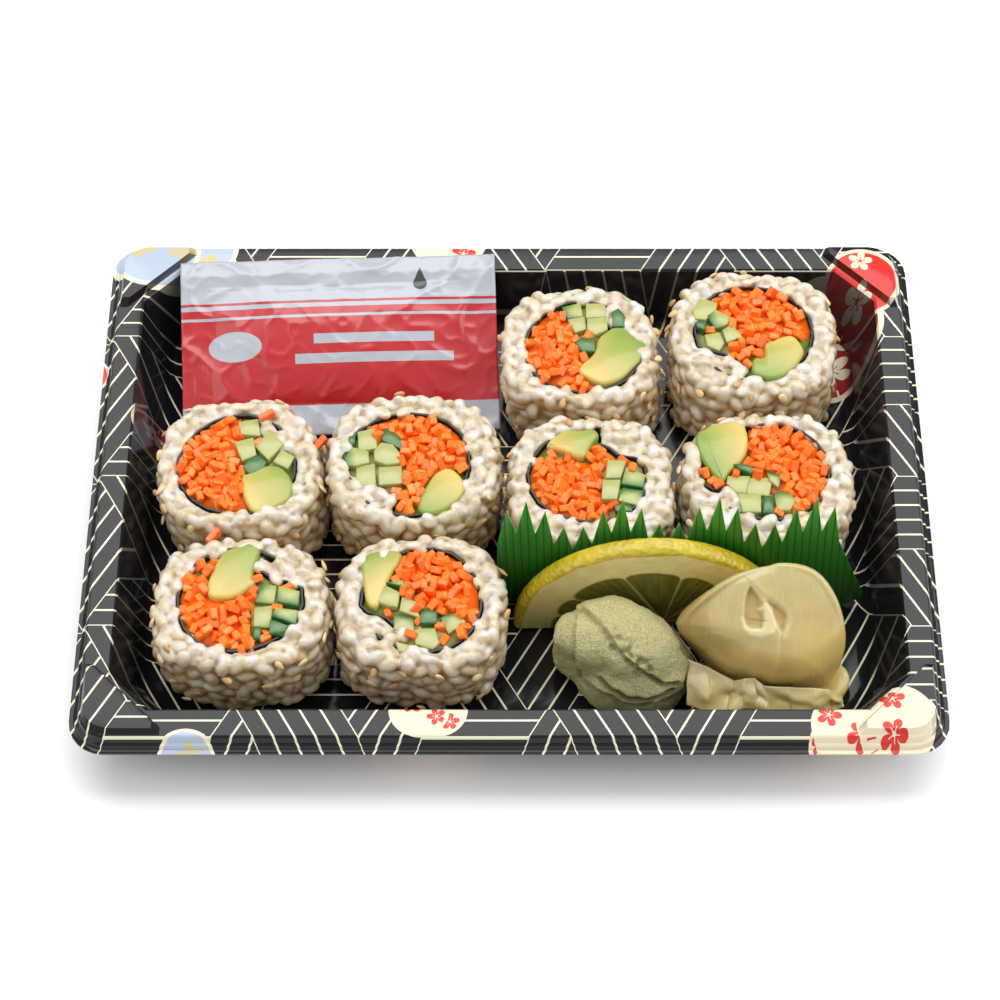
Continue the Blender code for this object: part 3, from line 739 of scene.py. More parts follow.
# Cucumber sticks: how much skin shows (none, the first side, all) and the outline in mm
CUCUMBERS = {
    1: (
        (0, ((-70.1, 14.1), (-65.0, 15.1), (-64.2, 9.7), (-70.0, 10.1))),
        (0, ((-70.9, 7.7), (-66.0, 9.1), (-64.9, 3.7), (-68.6, 1.7))),
        (0, ((-61.8, 11.3), (-58.0, 6.9), (-61.7, 1.7), (-65.4, 6.1))),
        (0, ((-58.6, 5.5), (-55.1, 3.3), (-56.7, -0.6), (-60.7, 1.7))),
        (2, ((-68.3, -0.2), (-67.3, 2.5), (-64.4, 3.7), (-62.0, 1.7), (-63.2, -1.0), (-66.4, -2.4))),
    ),
    2: (
        (0, ((-39.2, 10.8), (-34.7, 12.0), (-33.9, 5.6), (-38.8, 4.8))),
        (2, ((-33.1, 11.2), (-31.8, 12.4), (-27.4, 8.8), (-27.7, 5.6), (-33.0, 8.4))),
        (2, ((-41.4, 9.6), (-39.6, 9.6), (-39.9, 6.8), (-41.5, 7.2))),
        (1, ((-41.9, 0.1), (-42.4, 2.9), (-40.2, 6.0), (-36.2, 4.8), (-35.8, 1.3), (-39.0, 0.1))),
        (0, ((-34.9, 4.8), (-33.0, 7.4), (-30.0, 6.8), (-28.0, 4.1), (-28.1, 0.9), (-31.5, 0.3),
             (-34.6, 1.7))),
        (0, ((-39.3, 0.5), (-34.4, 1.3), (-34.0, -5.0), (-39.1, -5.8))),
        (0, ((-33.6, 0.1), (-27.6, 0.5), (-27.1, -5.0), (-33.3, -5.4))),
    ),
    3: (
        (1, ((-63.3, -40.1), (-61.6, -34.3), (-57.9, -35.4), (-58.3, -40.5))),
        (1, ((-52.3, -41.7), (-57.7, -40.5), (-57.4, -35.8), (-52.1, -37.4))),
        (1, ((-52.7, -47.0), (-58.8, -44.4), (-57.9, -42.0), (-52.4, -42.8))),
        (0, ((-63.3, -41.7), (-58.6, -40.9), (-59.0, -47.4), (-63.3, -47.0))),
        (2, ((-59.1, -45.5), (-54.4, -47.4), (-55.9, -49.7), (-59.2, -49.7))),
        (2, ((-63.0, -47.6), (-61.1, -47.6), (-61.3, -51.2), (-63.0, -50.9))),
    ),
    4: (
        (1, ((-30.8, -34.9), (-24.9, -36.8), (-25.4, -37.8), (-26.5, -34.1))),
        (0, ((-32.7, -38.4), (-30.5, -35.7), (-27.1, -37.6), (-27.7, -41.9), (-30.3, -41.5),
             (-32.7, -40.3))),
        (0, ((-26.7, -38.4), (-22.2, -40.3), (-22.3, -44.6), (-27.3, -42.6))),
        (1, ((-28.6, -43.4), (-23.6, -44.6), (-23.5, -48.4), (-28.5, -48.0))),
        (2, ((-22.0, -42.2), (-17.7, -43.0), (-18.0, -46.5), (-21.9, -46.5))),
        (1, ((-17.3, -44.6), (-12.7, -42.1), (-10.7, -45.7), (-14.9, -49.2))),
        (0, ((-23.6, -48.0), (-18.3, -47.6), (-17.1, -51.8), (-18.8, -53.7), (-23.1, -52.2))),
        (0, ((-28.1, -51.4), (-23.8, -52.6), (-22.4, -54.5), (-27.0, -54.5))),
    ),
    5: (
        (1, ((15.5, 47.5), (13.9, 51.6), (19.0, 53.0), (19.7, 48.5))),
        (0, ((20.4, 52.4), (25.6, 52.4), (25.8, 47.9), (20.4, 47.5))),
        (0, ((15.5, 47.1), (20.0, 48.1), (20.5, 43.9), (17.4, 42.7))),
        (0, ((20.7, 47.1), (26.0, 47.5), (26.1, 43.5), (22.8, 41.5), (20.6, 43.5))),
        (2, ((27.2, 49.5), (29.1, 50.8), (30.7, 48.7), (30.6, 44.7), (27.4, 44.7))),
        (2, ((17.3, 39.6), (19.3, 41.1), (22.8, 41.1), (22.7, 36.4), (19.2, 36.4))),
    ),
    6: (
        (0, ((48.7, 50.4), (51.0, 54.1), (55.7, 52.7), (54.9, 49.5), (52.2, 46.8), (49.3, 47.2))),
        (1, ((54.6, 43.6), (52.6, 48.1), (54.9, 50.2), (58.8, 47.7), (58.0, 45.4))),
        (0, ((56.4, 43.6), (59.1, 45.6), (61.8, 41.3), (57.4, 39.5))),
        (0, ((51.7, 42.2), (55.7, 43.1), (57.0, 39.5), (55.4, 36.9), (52.3, 38.6))),
        (2, ((49.3, 45.9), (52.2, 45.9), (51.7, 43.1), (49.9, 44.0))),
    ),
    7: (
        (0, ((25.3, 1.8), (30.0, 1.4), (28.5, -3.8), (24.5, -3.8))),
        (0, ((23.8, -4.2), (28.5, -4.2), (27.5, -10.2), (23.4, -10.2))),
        (1, ((34.1, -6.6), (28.5, -5.4), (29.9, -0.2), (34.9, -2.6))),
        (1, ((28.8, -6.2), (34.1, -7.0), (33.3, -11.8), (27.7, -10.2))),
        (2, ((26.7, -11.0), (31.0, -11.4), (31.3, -13.4), (27.0, -13.4))),
    ),
    8: (
        (0, ((55.9, -2.6), (61.7, -2.6), (60.4, -7.9), (58.0, -7.9), (55.4, -5.0))),
        (0, ((61.3, -3.0), (67.5, -3.0), (66.2, -8.7), (60.4, -7.9))),
        (0, ((58.3, -8.3), (64.1, -8.7), (63.9, -14.0), (59.1, -14.0))),
        (1, ((67.2, -7.9), (71.1, -6.7), (72.9, -10.3), (71.4, -13.2), (68.0, -13.2))),
        (2, ((64.8, -9.1), (66.7, -9.1), (67.2, -14.4), (64.2, -14.4))),
        (1, ((65.9, -1.4), (69.6, -2.6), (68.7, -6.3), (66.4, -4.2))),
        (2, ((57.4, 0.3), (60.1, 0.7), (63.1, -0.9), (61.7, -2.6))),
    ),
}


def lowered(node, drop):
    """A copy of a CAD filling whose top is a little lower."""
    shape = joined(node)
    top = max(point.co.z for point in shape.verts)
    for point in shape.verts:
        if point.co.z > top - drop:
            point.co.z -= drop
    return shape


def in_mm(spots):
    """Points given in mm."""
    return [Vector(spot) * MM for spot in spots]


def neighbours(loop):
    """Each item of a closed loop between the ones before and after it."""
    return zip(loop[-1:] + loop[:-1], loop, loop[1:] + loop[:1])


def rounded(outline, rounds):
    """The outline with its corners cut a few times, which rounds them."""
    for _ in range(rounds):
        cut = []
        for _, here, after in neighbours(outline):
            cut += [here.lerp(after, 0.25), here.lerp(after, 0.75)]
        outline = cut
    return outline


def inward(outline, distance):
    """The outline moved in by a distance at each of its points."""
    moved = []
    area = sum(here.cross(after) for _, here, after in neighbours(outline))
    side = 1 if area > 0 else -1
    for before, here, after in neighbours(outline):
        along = (after - before).normalized()
        moved.append(here + side * distance * Vector((-along.y, along.x)))
    return moved


def upright(shape, outline, top, edge, tone):
    """Adds a stick with a softened upper edge. Tone gives each spot its place in the colours."""
    layer = shape.verts.layers.float["tone"]
    rings = []
    for drop, inset in ((STICK_LENGTH, 0.0), (edge, 0.0), (edge * 0.3, edge * 0.3), (0.0, edge)):
        ring = []
        for number, spot in enumerate(inward(outline, inset)):
            point = shape.verts.new((spot.x, spot.y, top - drop))
            point[layer] = tone(number, spot)
            ring.append(point)
        rings.append(ring)
    for lower, upper in zip(rings, rings[1:]):
        for (_, a, b), (_, c, d) in zip(neighbours(lower), neighbours(upper)):
            shape.faces.new((a, b, d, c))
    return rings[-1]


def distance_in(spot, outline):
    """How far a spot lies inside an outline; below nought outside it."""
    nearest = 1.0
    inside = False
    for _, a, b in neighbours(outline):
        along = b - a
        share = max(0.0, min(1.0, (spot - a).dot(along) / along.length_squared))
        nearest = min(nearest, (spot - a - share * along).length)
        if (a.y > spot.y) != (b.y > spot.y):
            if spot.x < a.x + (spot.y - a.y) / (b.y - a.y) * along.x:
                inside = not inside
    return nearest if inside else -nearest


carrot_finish, nodes = finish(
    "carrot", Roughness=0.36, Subsurface_Weight=0.35, Subsurface_Radius=(1.0, 0.35, 0.1),
    Subsurface_Scale=0.0012, Coat_Weight=0.2,
)
tint = nodes.ramp(nodes.named("shade"), (0.0, (0.95, 0.15, 0.007)), (1.0, (1.0, 0.24, 0.020)))
nodes.paint(tint, nodes.noise(nodes.place(), 1400, 2), 0.0002, 0.6)

cucumber_finish, nodes = finish(
    "cucumber", Roughness=0.3, Subsurface_Weight=0.4, Subsurface_Radius=(0.8, 1.0, 0.4),
    Subsurface_Scale=0.0015, Coat_Weight=0.3,
)
place = nodes.place()
tone = nodes.named("tone") + nodes.noise(place, 500) * 0.16
tint = nodes.ramp(
    tone,
    (0.05, (0.43, 0.42, 0.155)),
    (0.35, (0.31, 0.355, 0.09)),
    (0.75, (0.13, 0.22, 0.038)),
    (1.0, (0.035, 0.13, 0.025)),
)
nodes.paint(tint, nodes.noise(place, 800, 2), 0.0002, 0.4)

avocado_finish, nodes = finish(
    "avocado", Roughness=0.34, Subsurface_Weight=0.4, Subsurface_Radius=(1.0, 0.8, 0.25),
    Subsurface_Scale=0.0016, Coat_Weight=0.2,
)
place = nodes.place()
wander = (nodes.noise(place, 150, 3) - 0.5) * 0.5
tone = nodes.named("tone") + wander
tint = nodes.ramp(
    tone,
    (0.0, (0.19, 0.30, 0.035)),
    (0.4, (0.35, 0.37, 0.070)),
    (0.75, (0.50, 0.41, 0.098)),
    (1.0, (0.60, 0.465, 0.125)),
)
nodes.paint(tint, nodes.noise(place, 350, 3), 0.0003, 0.5)

stick = bmesh.new()
bmesh.ops.create_cube(stick, size=2.0)
for point in stick.verts:
    point.co = Vector([part * half for part, half in zip(point.co, CARROT)])
    point.co.z -= CARROT[2]
bmesh.ops.bevel(stick, geom=stick.edges[:], offset=0.0003, segments=1, affect="EDGES")
stick = piece("stick", stick, carrot_finish, smooth=False)

draw = random.Random(11)
for number in ROLLS:
    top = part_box(f"roll_{number}_rice")[1].z
    fillings = [f"roll_{number}_{kind}" for kind in ("carrot", "cucumber", "avocado")]
    trees = [BVHTree.FromPolygons(
        [tuple(v.co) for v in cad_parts[node].data.vertices],
        [tuple(f.vertices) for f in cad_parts[node].data.polygons],
    ) for node in fillings]

    def filled(x, y):
        start = Vector((x, y, top + 0.01))
        hits = [tree.ray_cast(start, Vector((0, 0, -1))) for tree in trees]
        return any(hit[0] is not None and hit[0].z > top - 0.002 for hit in hits)

    slices = bmesh.new()
    slices.verts.layers.float.new("tone")
    outline, green, yellow = AVOCADOS[number]
    outline = rounded(in_mm(outline), 2)
    green = Vector(green) * MM
    along = Vector(yellow) * MM - green
    slices.faces.new(upright(
        slices, outline, top + AVOCADO_RISE, AVOCADO_EDGE,
        lambda _, spot: (spot - green).dot(along) / along.length_squared,
    ))
    taken = [outline]

    sticks = bmesh.new()
    layer = sticks.verts.layers.float.new("tone")
    for skin, corners in CUCUMBERS[number]:
        corners = in_mm(corners)
        taken.append(corners)
        hub_tone, edge_tone = SKIN_TONES[skin]
        height = top + draw.uniform(*STICK_HEIGHTS)
        marked = [0, 1] if skin == 1 else []
        ring = upright(
            sticks, corners, height, STICK_EDGE,
            lambda corner, _: SKIN_SIDE if corner in marked else edge_tone,
        )
        centre = sum(corners, Vector((0, 0))) / len(corners)
        hub = sticks.verts.new((centre.x, centre.y, height + STICK_HUB))
        hub[layer] = hub_tone
        for _, here, after in neighbours(ring):
            sticks.faces.new((here, after, hub))

    low = Vector(map(min, *[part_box(node)[0] for node in fillings]))
    high = Vector(map(max, *[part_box(node)[1] for node in fillings]))
    bed = bmesh.new()
    for column in range(int((high.x - low.x) / CARROT_CELL)):
        for row in range(int((high.y - low.y) / CARROT_CELL)):
            x = low.x + (column + 0.5) * CARROT_CELL
            y = low.y + (row + 0.5) * CARROT_CELL
            around = [(x + CARROT_MARGIN * dx, y + CARROT_MARGIN * dy) for dx, dy in WAYS]
            if not all(filled(*spot) for spot in around):
                continue
            if max(distance_in(Vector((x, y)), outline) for outline in taken) > -CARROT_GAP:
                continue
            corners = [(x + CARROT_CELL / 2 * dx, y + CARROT_CELL / 2 * dy) for dx, dy in DIAGONALS]
            bed.faces.new([bed.verts.new((*corner, top)) for corner in corners])
    ends = strew(
        f"carrot_{number}_ends", bed, stick, carrot_finish,
        Spacing=CARROT_SPACING, Density=CARROT_DENSITY, Tilt=CARROT_TILT,
        Low=-0.0010, High=0.0009, Seed=60 + number,
    )
    for kind, shape, material in (
        ("carrot", None, carrot_finish),
        ("cucumber", sticks, cucumber_finish),
        ("avocado", slices, avocado_finish),
    ):
        base = piece(f"{kind}_{number}", lowered(f"roll_{number}_{kind}", FILLING_DROP), material)
        if shape is None:
            cap = ends
        else:
            bmesh.ops.recalc_face_normals(shape, faces=shape.faces)
            cap = piece(f"{kind}_{number}_ends", shape, material)
        show(join([base, cap]), f"roll_{number}_{kind}")

# Loose shreds that stuck to the rice: place in mm, then the turn about each axis
STRAYS = (
    ((-62.7, 15.2, 26.2), (0.15, 1.35, 0.6)),
    ((-48.9, 8.6, 23.4), (0.5, 1.2, 1.4)),
    ((-74.6, -20.8, 24.9), (0.2, 1.4, 1.1)),
)
STRAY_SIZE = 0.8
shreds = bmesh.new()
for place, turn in STRAYS:
    shreds.from_mesh(stick.data)
    count = len(stick.data.vertices)
    shreds.verts.ensure_lookup_table()
    shift = Matrix.LocRotScale(Vector(place) * MM, Euler(turn), Vector.Fill(3, STRAY_SIZE))
    for point in shreds.verts[-count:]:
        point.co = shift @ (point.co + Vector((0, 0, CARROT[2])))
strays = piece("carrot_strays", shreds, carrot_finish, smooth=False)
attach(strays, "root")
bpy.data.objects.remove(stick)


# The sauce sachet: two sheets of printed glossy film sealed all round, with ribbed seals, a little
# sauce between them. It leans from the floor up over the back wall and lies on the land.
SACHET_FOOT = Vector((-44.8, 25.5, 2.4)) * MM
SACHET_BEND = Vector((-44.8, 66.0, 20.95)) * MM
SACHET_REST = Vector((0, 1, 0.05))
SACHET_SIZE = (0.0850, 0.0490)
SACHET_SEAL = 0.0085
SACHET_FILM = 0.00025
SACHET_SWELL = (0.0034, 0.0015)
SACHET_TURN = math.radians(2.2)
SACHET_CELLS = (150, 86)
SACHET_RIB = 0.0011
SACHET_RIB_HEIGHT = 0.00014
FILM_RED = (0.42, 0.010, 0.014, 1)
FILM_WHITE = (0.37, 0.39, 0.44, 1)
DROP_INK = (0.03, 0.03, 0.035, 1)
# The print, in shares of the film's width and length: bands, then bars, then the drop
BANDS = (((0.17, 0.71), FILM_RED), ((0.735, 0.75), FILM_RED), ((0.652, 0.668), FILM_WHITE))
BADGE = (0.17, 0.5, 0.085, 0.085)
BARS = (((0.42, 0.80), (0.50, 0.555)), ((0.36, 0.86), (0.39, 0.445)))
DROP = (0.76, 0.835, 0.022, 0.038)
DROP_TIP = (0.84, 0.93)
DROP_SLOPE = 0.235


def crease(across, along):
    """Height of the film's crinkles at a spot of the flat sachet."""
    spot = Vector((across * 60, along * 60, 3.0))
    sharp = 1 - abs(noise.noise(spot)) * 2.2
    fine = 1 - abs(noise.noise(spot * 2.7 + Vector((4, 1, 0)))) * 2.2
    end = min(along, SACHET_SIZE[1] - along)
    side = SACHET_SIZE[0] / 2 - abs(across)
    near = max(0.0, 1 - min(end, side) / 0.02)
    return 0.0008 * max(sharp, 0) ** 3 * (0.25 + near) + 0.00026 * max(fine, 0) ** 3


def film_spot(across, along, side):
    """A point of the bent, swollen and crinkled film. Side is 1 in front and -1 behind."""
    width, length = SACHET_SIZE
    drift = 0.05 * noise.noise(Vector((across * 90, along * 90, 7.0)))
    inner_x = max(0.0, abs(across) / (width / 2 - SACHET_SEAL) + drift)
    inner_y = max(0.0, abs(along - length / 2) / (length / 2 - SACHET_SEAL) + drift)
    swell = (max(0.0, 1 - inner_x ** 2.6) * max(0.0, 1 - inner_y ** 2.2)) ** 0.8
    lift = side * (SACHET_FILM + SACHET_SWELL[0 if side > 0 else 1] * swell)
    lift += crease(across, along)
    edge = max(inner_x, inner_y)
    if edge > 1:
        ribbed = across if inner_x > 1 else along
        lift += SACHET_RIB_HEIGHT * math.sin(ribbed * math.tau / SACHET_RIB)
    climb = SACHET_BEND - SACHET_FOOT
    slope = climb.normalized()
    if along < climb.length:
        spot = SACHET_FOOT + slope * along
    else:
        spot = SACHET_BEND + SACHET_REST * (along - climb.length)
    spot = spot + Vector((across, 0, 0)) + Vector((0, -slope.z, slope.y)) * lift
    return Matrix.Rotation(SACHET_TURN, 3, "Z") @ (spot - SACHET_FOOT) + SACHET_FOOT


film = bmesh.new()
print_map = film.loops.layers.uv.new("print")
columns, rows = SACHET_CELLS
rims = []
for side in (1, -1):
    grid = [
        [
            film.verts.new(
                film_spot(SACHET_SIZE[0] * (column / columns - 0.5), SACHET_SIZE[1] * row / rows, side)
            )
            for column in range(columns + 1)
        ]
        for row in range(rows + 1)
    ]
    for row in range(rows):
        for column in range(columns):
            places = [(column, row), (column + 1, row), (column + 1, row + 1), (column, row + 1)]
            face = film.faces.new([grid[y][x] for x, y in places[::side]])
            for loop, (x, y) in zip(face.loops, places[::side]):
                loop[print_map].uv = (x / columns, y / rows)
    rims.append(
        grid[0] + [line[-1] for line in grid[1:]] + grid[-1][-2::-1] + [line[0] for line in grid[-2:0:-1]]
    )
for a, b, c, d in zip(rims[0], rims[1], rims[1][1:] + rims[1][:1], rims[0][1:] + rims[0][:1]):
    film.faces.new((a, b, c, d))

film_finish, nodes = finish("sachet", Roughness=0.3, Coat_Weight=0.4, Coat_Roughness=0.1)
spot = nodes.out("ShaderNodeUVMap", 0, uv_map="print")
u, v, _ = nodes.split(spot)


def between(value, low, high):
    """1 where a value lies between two limits."""
    return nodes.math("COMPARE", value, (low + high) / 2, (high - low) / 2)


def disc_at(x, y, wide, high):
    """1 inside an ellipse on the print."""
    flat = nodes.vector("SUBTRACT", spot, (x, y, 0))
    reach = nodes.vector("LENGTH", nodes.vector("DIVIDE", flat, (wide, high, 1)))
    return reach < 1


colour = FILM_WHITE
for band, ink in BANDS:
    colour = nodes.blend(between(v, *band), colour, ink)
colour = nodes.blend(disc_at(*BADGE), colour, FILM_WHITE)
for wide, high in BARS:
    bar = between(v, *high) * between(u, *wide)
    colour = nodes.blend(bar, colour, FILM_WHITE)
aside = abs(u - DROP[0])
slope = (DROP_TIP[1] - v) * DROP_SLOPE
tip = (aside < slope) * between(v, *DROP_TIP)
nodes.paint(nodes.blend(nodes.math("MAXIMUM", disc_at(*DROP), tip), colour, DROP_INK))
show(piece("sachet_film", film, film_finish), "sachet")


# The divider: a strip of thin green film cut into grass blades, pressed with fine upright ribs.
# It stands on its edge across the front right of the tray, held only by the food.
RIB_STEP = 0.0019
RIB_WIDTH = 0.1
RIB_LEAN = 0.03
RIB_DARK = 0.72
BLADE_TOP = 0.045
divider_finish, nodes = finish(
    "divider", Roughness=0.3, Subsurface_Weight=0.3, Subsurface_Radius=(0.3, 1.0, 0.3),
    Subsurface_Scale=0.001,
)
x, y, z = nodes.split(nodes.place())
bend = z * RIB_LEAN + x
rib = nodes.math("PINGPONG", bend / RIB_STEP, 0.5)
line = rib < RIB_WIDTH
# The blades go darker towards the bottom and lighter towards the top: painted shade
height = z / BLADE_TOP
tint = nodes.ramp(
    height,
    (0.1, (0.012, 0.095, 0.008)),
    (0.65, (0.022, 0.20, 0.016)),
    (1.0, (0.05, 0.33, 0.035)),
)
colour = nodes.blend(line * RIB_DARK, tint, (0.004, 0.045, 0.008, 1))
nodes.paint(colour, rib, 0.0004, 0.6)
leaf = piece("grass_divider", joined("divider"), divider_finish, smooth=False)
show(leaf, "divider")


# The lemon: half a slice cut near the end of the fruit, so the pith is thick. It stands on its
# flat cut, rind up, against the divider.
LEMON_MIDDLE = (0.0356, 0.0009)
LEMON_RADIUS = 0.0345
LEMON_HUB = (0.0394, 0.0034)
LEMON_RIND = 0.0016
LEMON_PULP = 0.0256
LEMON_EDGE = 0.0006
LEMON_CREASE = math.radians(35)
# directions of the membranes from the hub, in degrees
LEMON_MEMBRANES = (172, 154, 117.5, 79, 47.5, 14)
lemon_finish, nodes = finish(
    "lemon", Roughness=0.32, Subsurface_Weight=0.35, Subsurface_Radius=(1.0, 0.85, 0.3),
    Subsurface_Scale=0.002, Coat_Weight=0.3,
)
place = nodes.place()
x, y, z = nodes.split(place)


def reach_from(middle):
    """Distance from a spot of the slice's cut face, with the two parts it is made of."""
    aside = x - middle[0]
    above = z - middle[1]
    square = aside * aside + above * above
    return nodes.math("SQRT", square), aside, above


radius, _, _ = reach_from(LEMON_MIDDLE)
hub_reach, aside, above = reach_from(LEMON_HUB)
wander = (nodes.noise(place, 110) - 0.5) * 0.0022
nearest = 1.0
for degrees in LEMON_MEMBRANES:
    sine, cosine = math.sin(math.radians(degrees)), math.cos(math.radians(degrees))
    across = aside * sine + above * -cosine
    ahead = aside * cosine + above * sine
    behind = (ahead < 0) * 0.01
    off = abs(across) + behind
    nearest = nodes.math("MINIMUM", nearest, off)
nearest = nearest + wander * 0.25
scallop = 0.0000022 / (nearest + 0.0007)
edge = LEMON_PULP - scallop + wander * 0.5
pulp = nodes.share(edge - radius, 0.0, 0.0006)
skin = nodes.share(nearest, 0.00015, 0.00055)
inside = pulp * (skin * 0.5 + 0.5)
turn = nodes.math("ARCTAN2", above, aside) * 9
sacs = nodes.cells(nodes.combined(turn, hub_reach * 90), 1.6)
flesh = nodes.ramp(
    sacs,
    (0.0, (0.21, 0.185, 0.026)),
    (0.6, (0.15, 0.13, 0.015)),
    (1.0, (0.115, 0.10, 0.011)),
)
pith = nodes.ramp(nodes.noise(place, 300, 3), (0.3, (0.68, 0.56, 0.18)), (0.7, (0.78, 0.68, 0.30)))
fleck = nodes.ramp(
    nodes.noise(nodes.vector("MULTIPLY", place, (1, 0.35, 1)), 420, 3),
    (0.36, (0.46, 0.36, 0.012)),
    (0.5, (0.53, 0.41, 0.014)),
    (0.7, (0.60, 0.45, 0.018)),
)
colour = nodes.blend(inside, pith, flesh)
rind = radius + wander > LEMON_RADIUS - LEMON_RIND
pits = nodes.cells(place, 700) * rind
depth = pits + sacs * inside * -0.8
depth = depth - inside * 0.6
nodes.paint(nodes.blend(rind, colour, fleck), depth, 0.0006, 0.6)
lemon = piece("lemon_slice", joined("lemon"), lemon_finish)
show(bevelled(lemon, LEMON_EDGE, 3, LEMON_CREASE), "lemon")


# The wasabi: a squeezed lump of fine-grained green paste, a smooth lobe folded over lower ones.
# It sits on the tray's floor and sticks there by itself.
# Edges of the folds, in view mm, with the height and the reach of each: the fold on the right of
# a line lies on top
WASABI_FOLDS = (
    (((41.5, -44.3), (38.5, -44.8), (35.5, -43.0), (32.5, -41.0), (29.5, -39.2),
      (27.0, -36.8), (24.8, -34.0), (22.9, -30.8), (20.6, -29.3), (18.4, -28.0)), 0.0014, 0.0050),
    (((45.5, -43.5), (43.0, -46.5), (40.0, -48.6), (36.5, -50.2), (32.0, -50.6), (28.0, -49.8),
      (24.5, -47.8), (21.5, -46.3), (18.5, -44.5), (17.0, -41.0), (16.6, -36.5), (16.8, -31.5)),
     0.0017, 0.0050),
    (((40.5, -46.2), (37.5, -48.0), (34.0, -49.0), (30.0, -48.4), (26.0, -46.7), (22.8, -43.5)),
     0.0008, 0.0035),
    (((42.8, -36.5), (43.9, -40.5), (43.4, -45.5)), 0.0007, 0.0030),
)
WASABI_TEAR = (Vector((26.0, -35.2)) * MM, Vector((33.5, -41.5)) * MM)
WASABI_OUTLINE = (
    (19.0, -26.0), (22, -24.7), (26, -24.3), (30, -25.4), (34, -27.1), (37, -29.0), (40, -31.5),
    (43, -35), (45, -38.5), (46.2, -42), (46, -46), (44.6, -49), (42.5, -52), (38, -53.6), (31, -54.2),
    (25, -53.4), (21, -52), (18.5, -50), (16, -46), (12, -41.5), (10.9, -38), (10.9, -34.5),
    (11.8, -31.5), (13.5, -29.5), (17, -28.2),
)
CREVICE_FROM = (0.036, 0.047)
WASABI_CENTRE = Vector((28.5, -39.0)) * MM
FOLD_END = 0.0025
FOLD_GROOVE = 0.0011
TEAR_WIDTH = 0.0024
WASABI_FOOT = 0.006
OUTLINE_SLOTS = 48
OUTLINE_PARTS = 20
FLOOR_TOP = 0.0011
FRONT_VIEW = (Vector((0.0, 0.8387, 0.5446)), Vector((0.0, 0.5446, -0.8387)))
VIEW_ORIGIN = Vector((0.0, -0.3886, 0.608))


def refined(node, levels, material, name):
    """A smooth and dense copy of a CAD node that can take relief."""
    shape = welded(node)
    bmesh.ops.join_triangles(
        shape, faces=shape.faces, angle_face_threshold=0.6, angle_shape_threshold=1.5
    )
    made = piece(name, shape, material)
    finer = made.modifiers.new("finer", "SUBSURF")
    finer.levels = levels
    return applied(made)


def surface(made):
    """The place and normal of every point of an object's mesh."""
    return [(point.co.copy(), point.normal.copy()) for point in made.data.vertices]


def reshape(made, spots):
    """Moves every point of an object's mesh to its new place."""
    made.data.vertices.foreach_set("co", [part for spot in spots for part in spot])
    made.data.update()


def hump(value, middle, width):
    """1 at the middle, falling off smoothly on both sides."""
    return math.exp(-(((value - middle) / width) ** 2))


wasabi_finish, nodes = finish(
    "wasabi", Roughness=0.62, Subsurface_Weight=0.3, Subsurface_Radius=(0.9, 1.0, 0.5),
    Subsurface_Scale=0.001,
)
grit = nodes.noise(nodes.place(), 2300, 3, 0.7)
tint = nodes.ramp(
    grit,
    (0.32, (0.37, 0.335, 0.130)),
    (0.5, (0.54, 0.495, 0.235)),
    (0.68, (0.70, 0.645, 0.345)),
)
# Grooves below the folds and low spots of the tear are blended to dark olive: painted shade in the crevices
nodes.paint(nodes.blend(nodes.named("crease"), tint, (0.10, 0.09, 0.028, 1)), grit, 0.0008)
wasabi = refined("wasabi", 3, wasabi_finish, "wasabi_lump")


def seen(spot):
    """Where a spot lies across and up, looked at from above the tray's front."""
    return Vector((spot.x, (spot - VIEW_ORIGIN).dot(FRONT_VIEW[0])))


def step(value, low, high):
    """0 below low, 1 above high and smooth between."""
    share = max(0.0, min(1.0, (value - low) / (high - low)))
    return share * share * (3 - 2 * share)


def outline_reach(spots, centre):
    """Greatest distance of any spot from the centre in each direction."""
    reaches = [0.0] * OUTLINE_SLOTS
    for spot in spots:
        away = spot - centre
        slot = int((math.atan2(away.y, away.x) / math.tau) % 1.0 * OUTLINE_SLOTS)
        reaches[slot] = max(reaches[slot], away.length)
    return reaches


def reach_at(reaches, angle):
    """A reach in any direction, blended between the two nearest ones."""
    place = (angle / math.tau) % 1.0 * len(reaches) - 0.5
    low = math.floor(place)
    share = place - low
    return reaches[low % len(reaches)] * (1 - share) + reaches[(low + 1) % len(reaches)] * share


def fitted(points, outline, centre):
    """Points drawn across the view so that they fill an outline: place, normal, turn and reach."""
    given = outline_reach([seen(spot) for spot, _ in points], centre)
    dense = [
        here.lerp(after, part / OUTLINE_PARTS)
        for _, here, after in neighbours(in_mm(outline))
        for part in range(OUTLINE_PARTS)
    ]
    wanted = outline_reach(dense, centre)
    moved = []
    for spot, normal in points:
        away = seen(spot) - centre
        angle = math.atan2(away.y, away.x)
        stretch = reach_at(wanted, angle) / reach_at(given, angle) - 1
        spot = spot + Vector((1, 0, 0)) * away.x * stretch + FRONT_VIEW[0] * away.y * stretch
        moved.append((spot, normal, angle, min(1.0, away.length / reach_at(given, angle))))
    return moved


def segment_offset(flat, before, after):
    """Distance from one stretch of a line, which side it is on, and how far past it."""
    along = after - before
    share = (flat - before).dot(along) / along.length_squared
    past = max(0.0, -share, share - 1.0) * along.length
    offset = flat - before - max(0.0, min(1.0, share)) * along
    return offset.length, (flat - before).cross(along), past


def layered(flat, layers):
    """How far overlapping layers raise a spot, how near it is to an edge and how deep in a crevice."""
    raised = 0.0
    near = 0.0
    groove = 0.0
    for line, height, reach in layers:
        line = in_mm(line)
        stretches = [segment_offset(flat, *ends) for ends in zip(line, line[1:])]
        distance, side, past = min(stretches, key=lambda stretch: stretch[0])
        side = math.copysign(distance, side)
        end = hump(past, 0.0, FOLD_END)
        if side > 0:
            raised += height * end * math.exp(-side / reach) * step(side, 0.0, 0.0006)
        near = max(near, end * hump(side, 0.0006, 0.0005))
        groove = max(groove, end * hump(side, -0.0003, 0.0006))
    return raised, near, groove


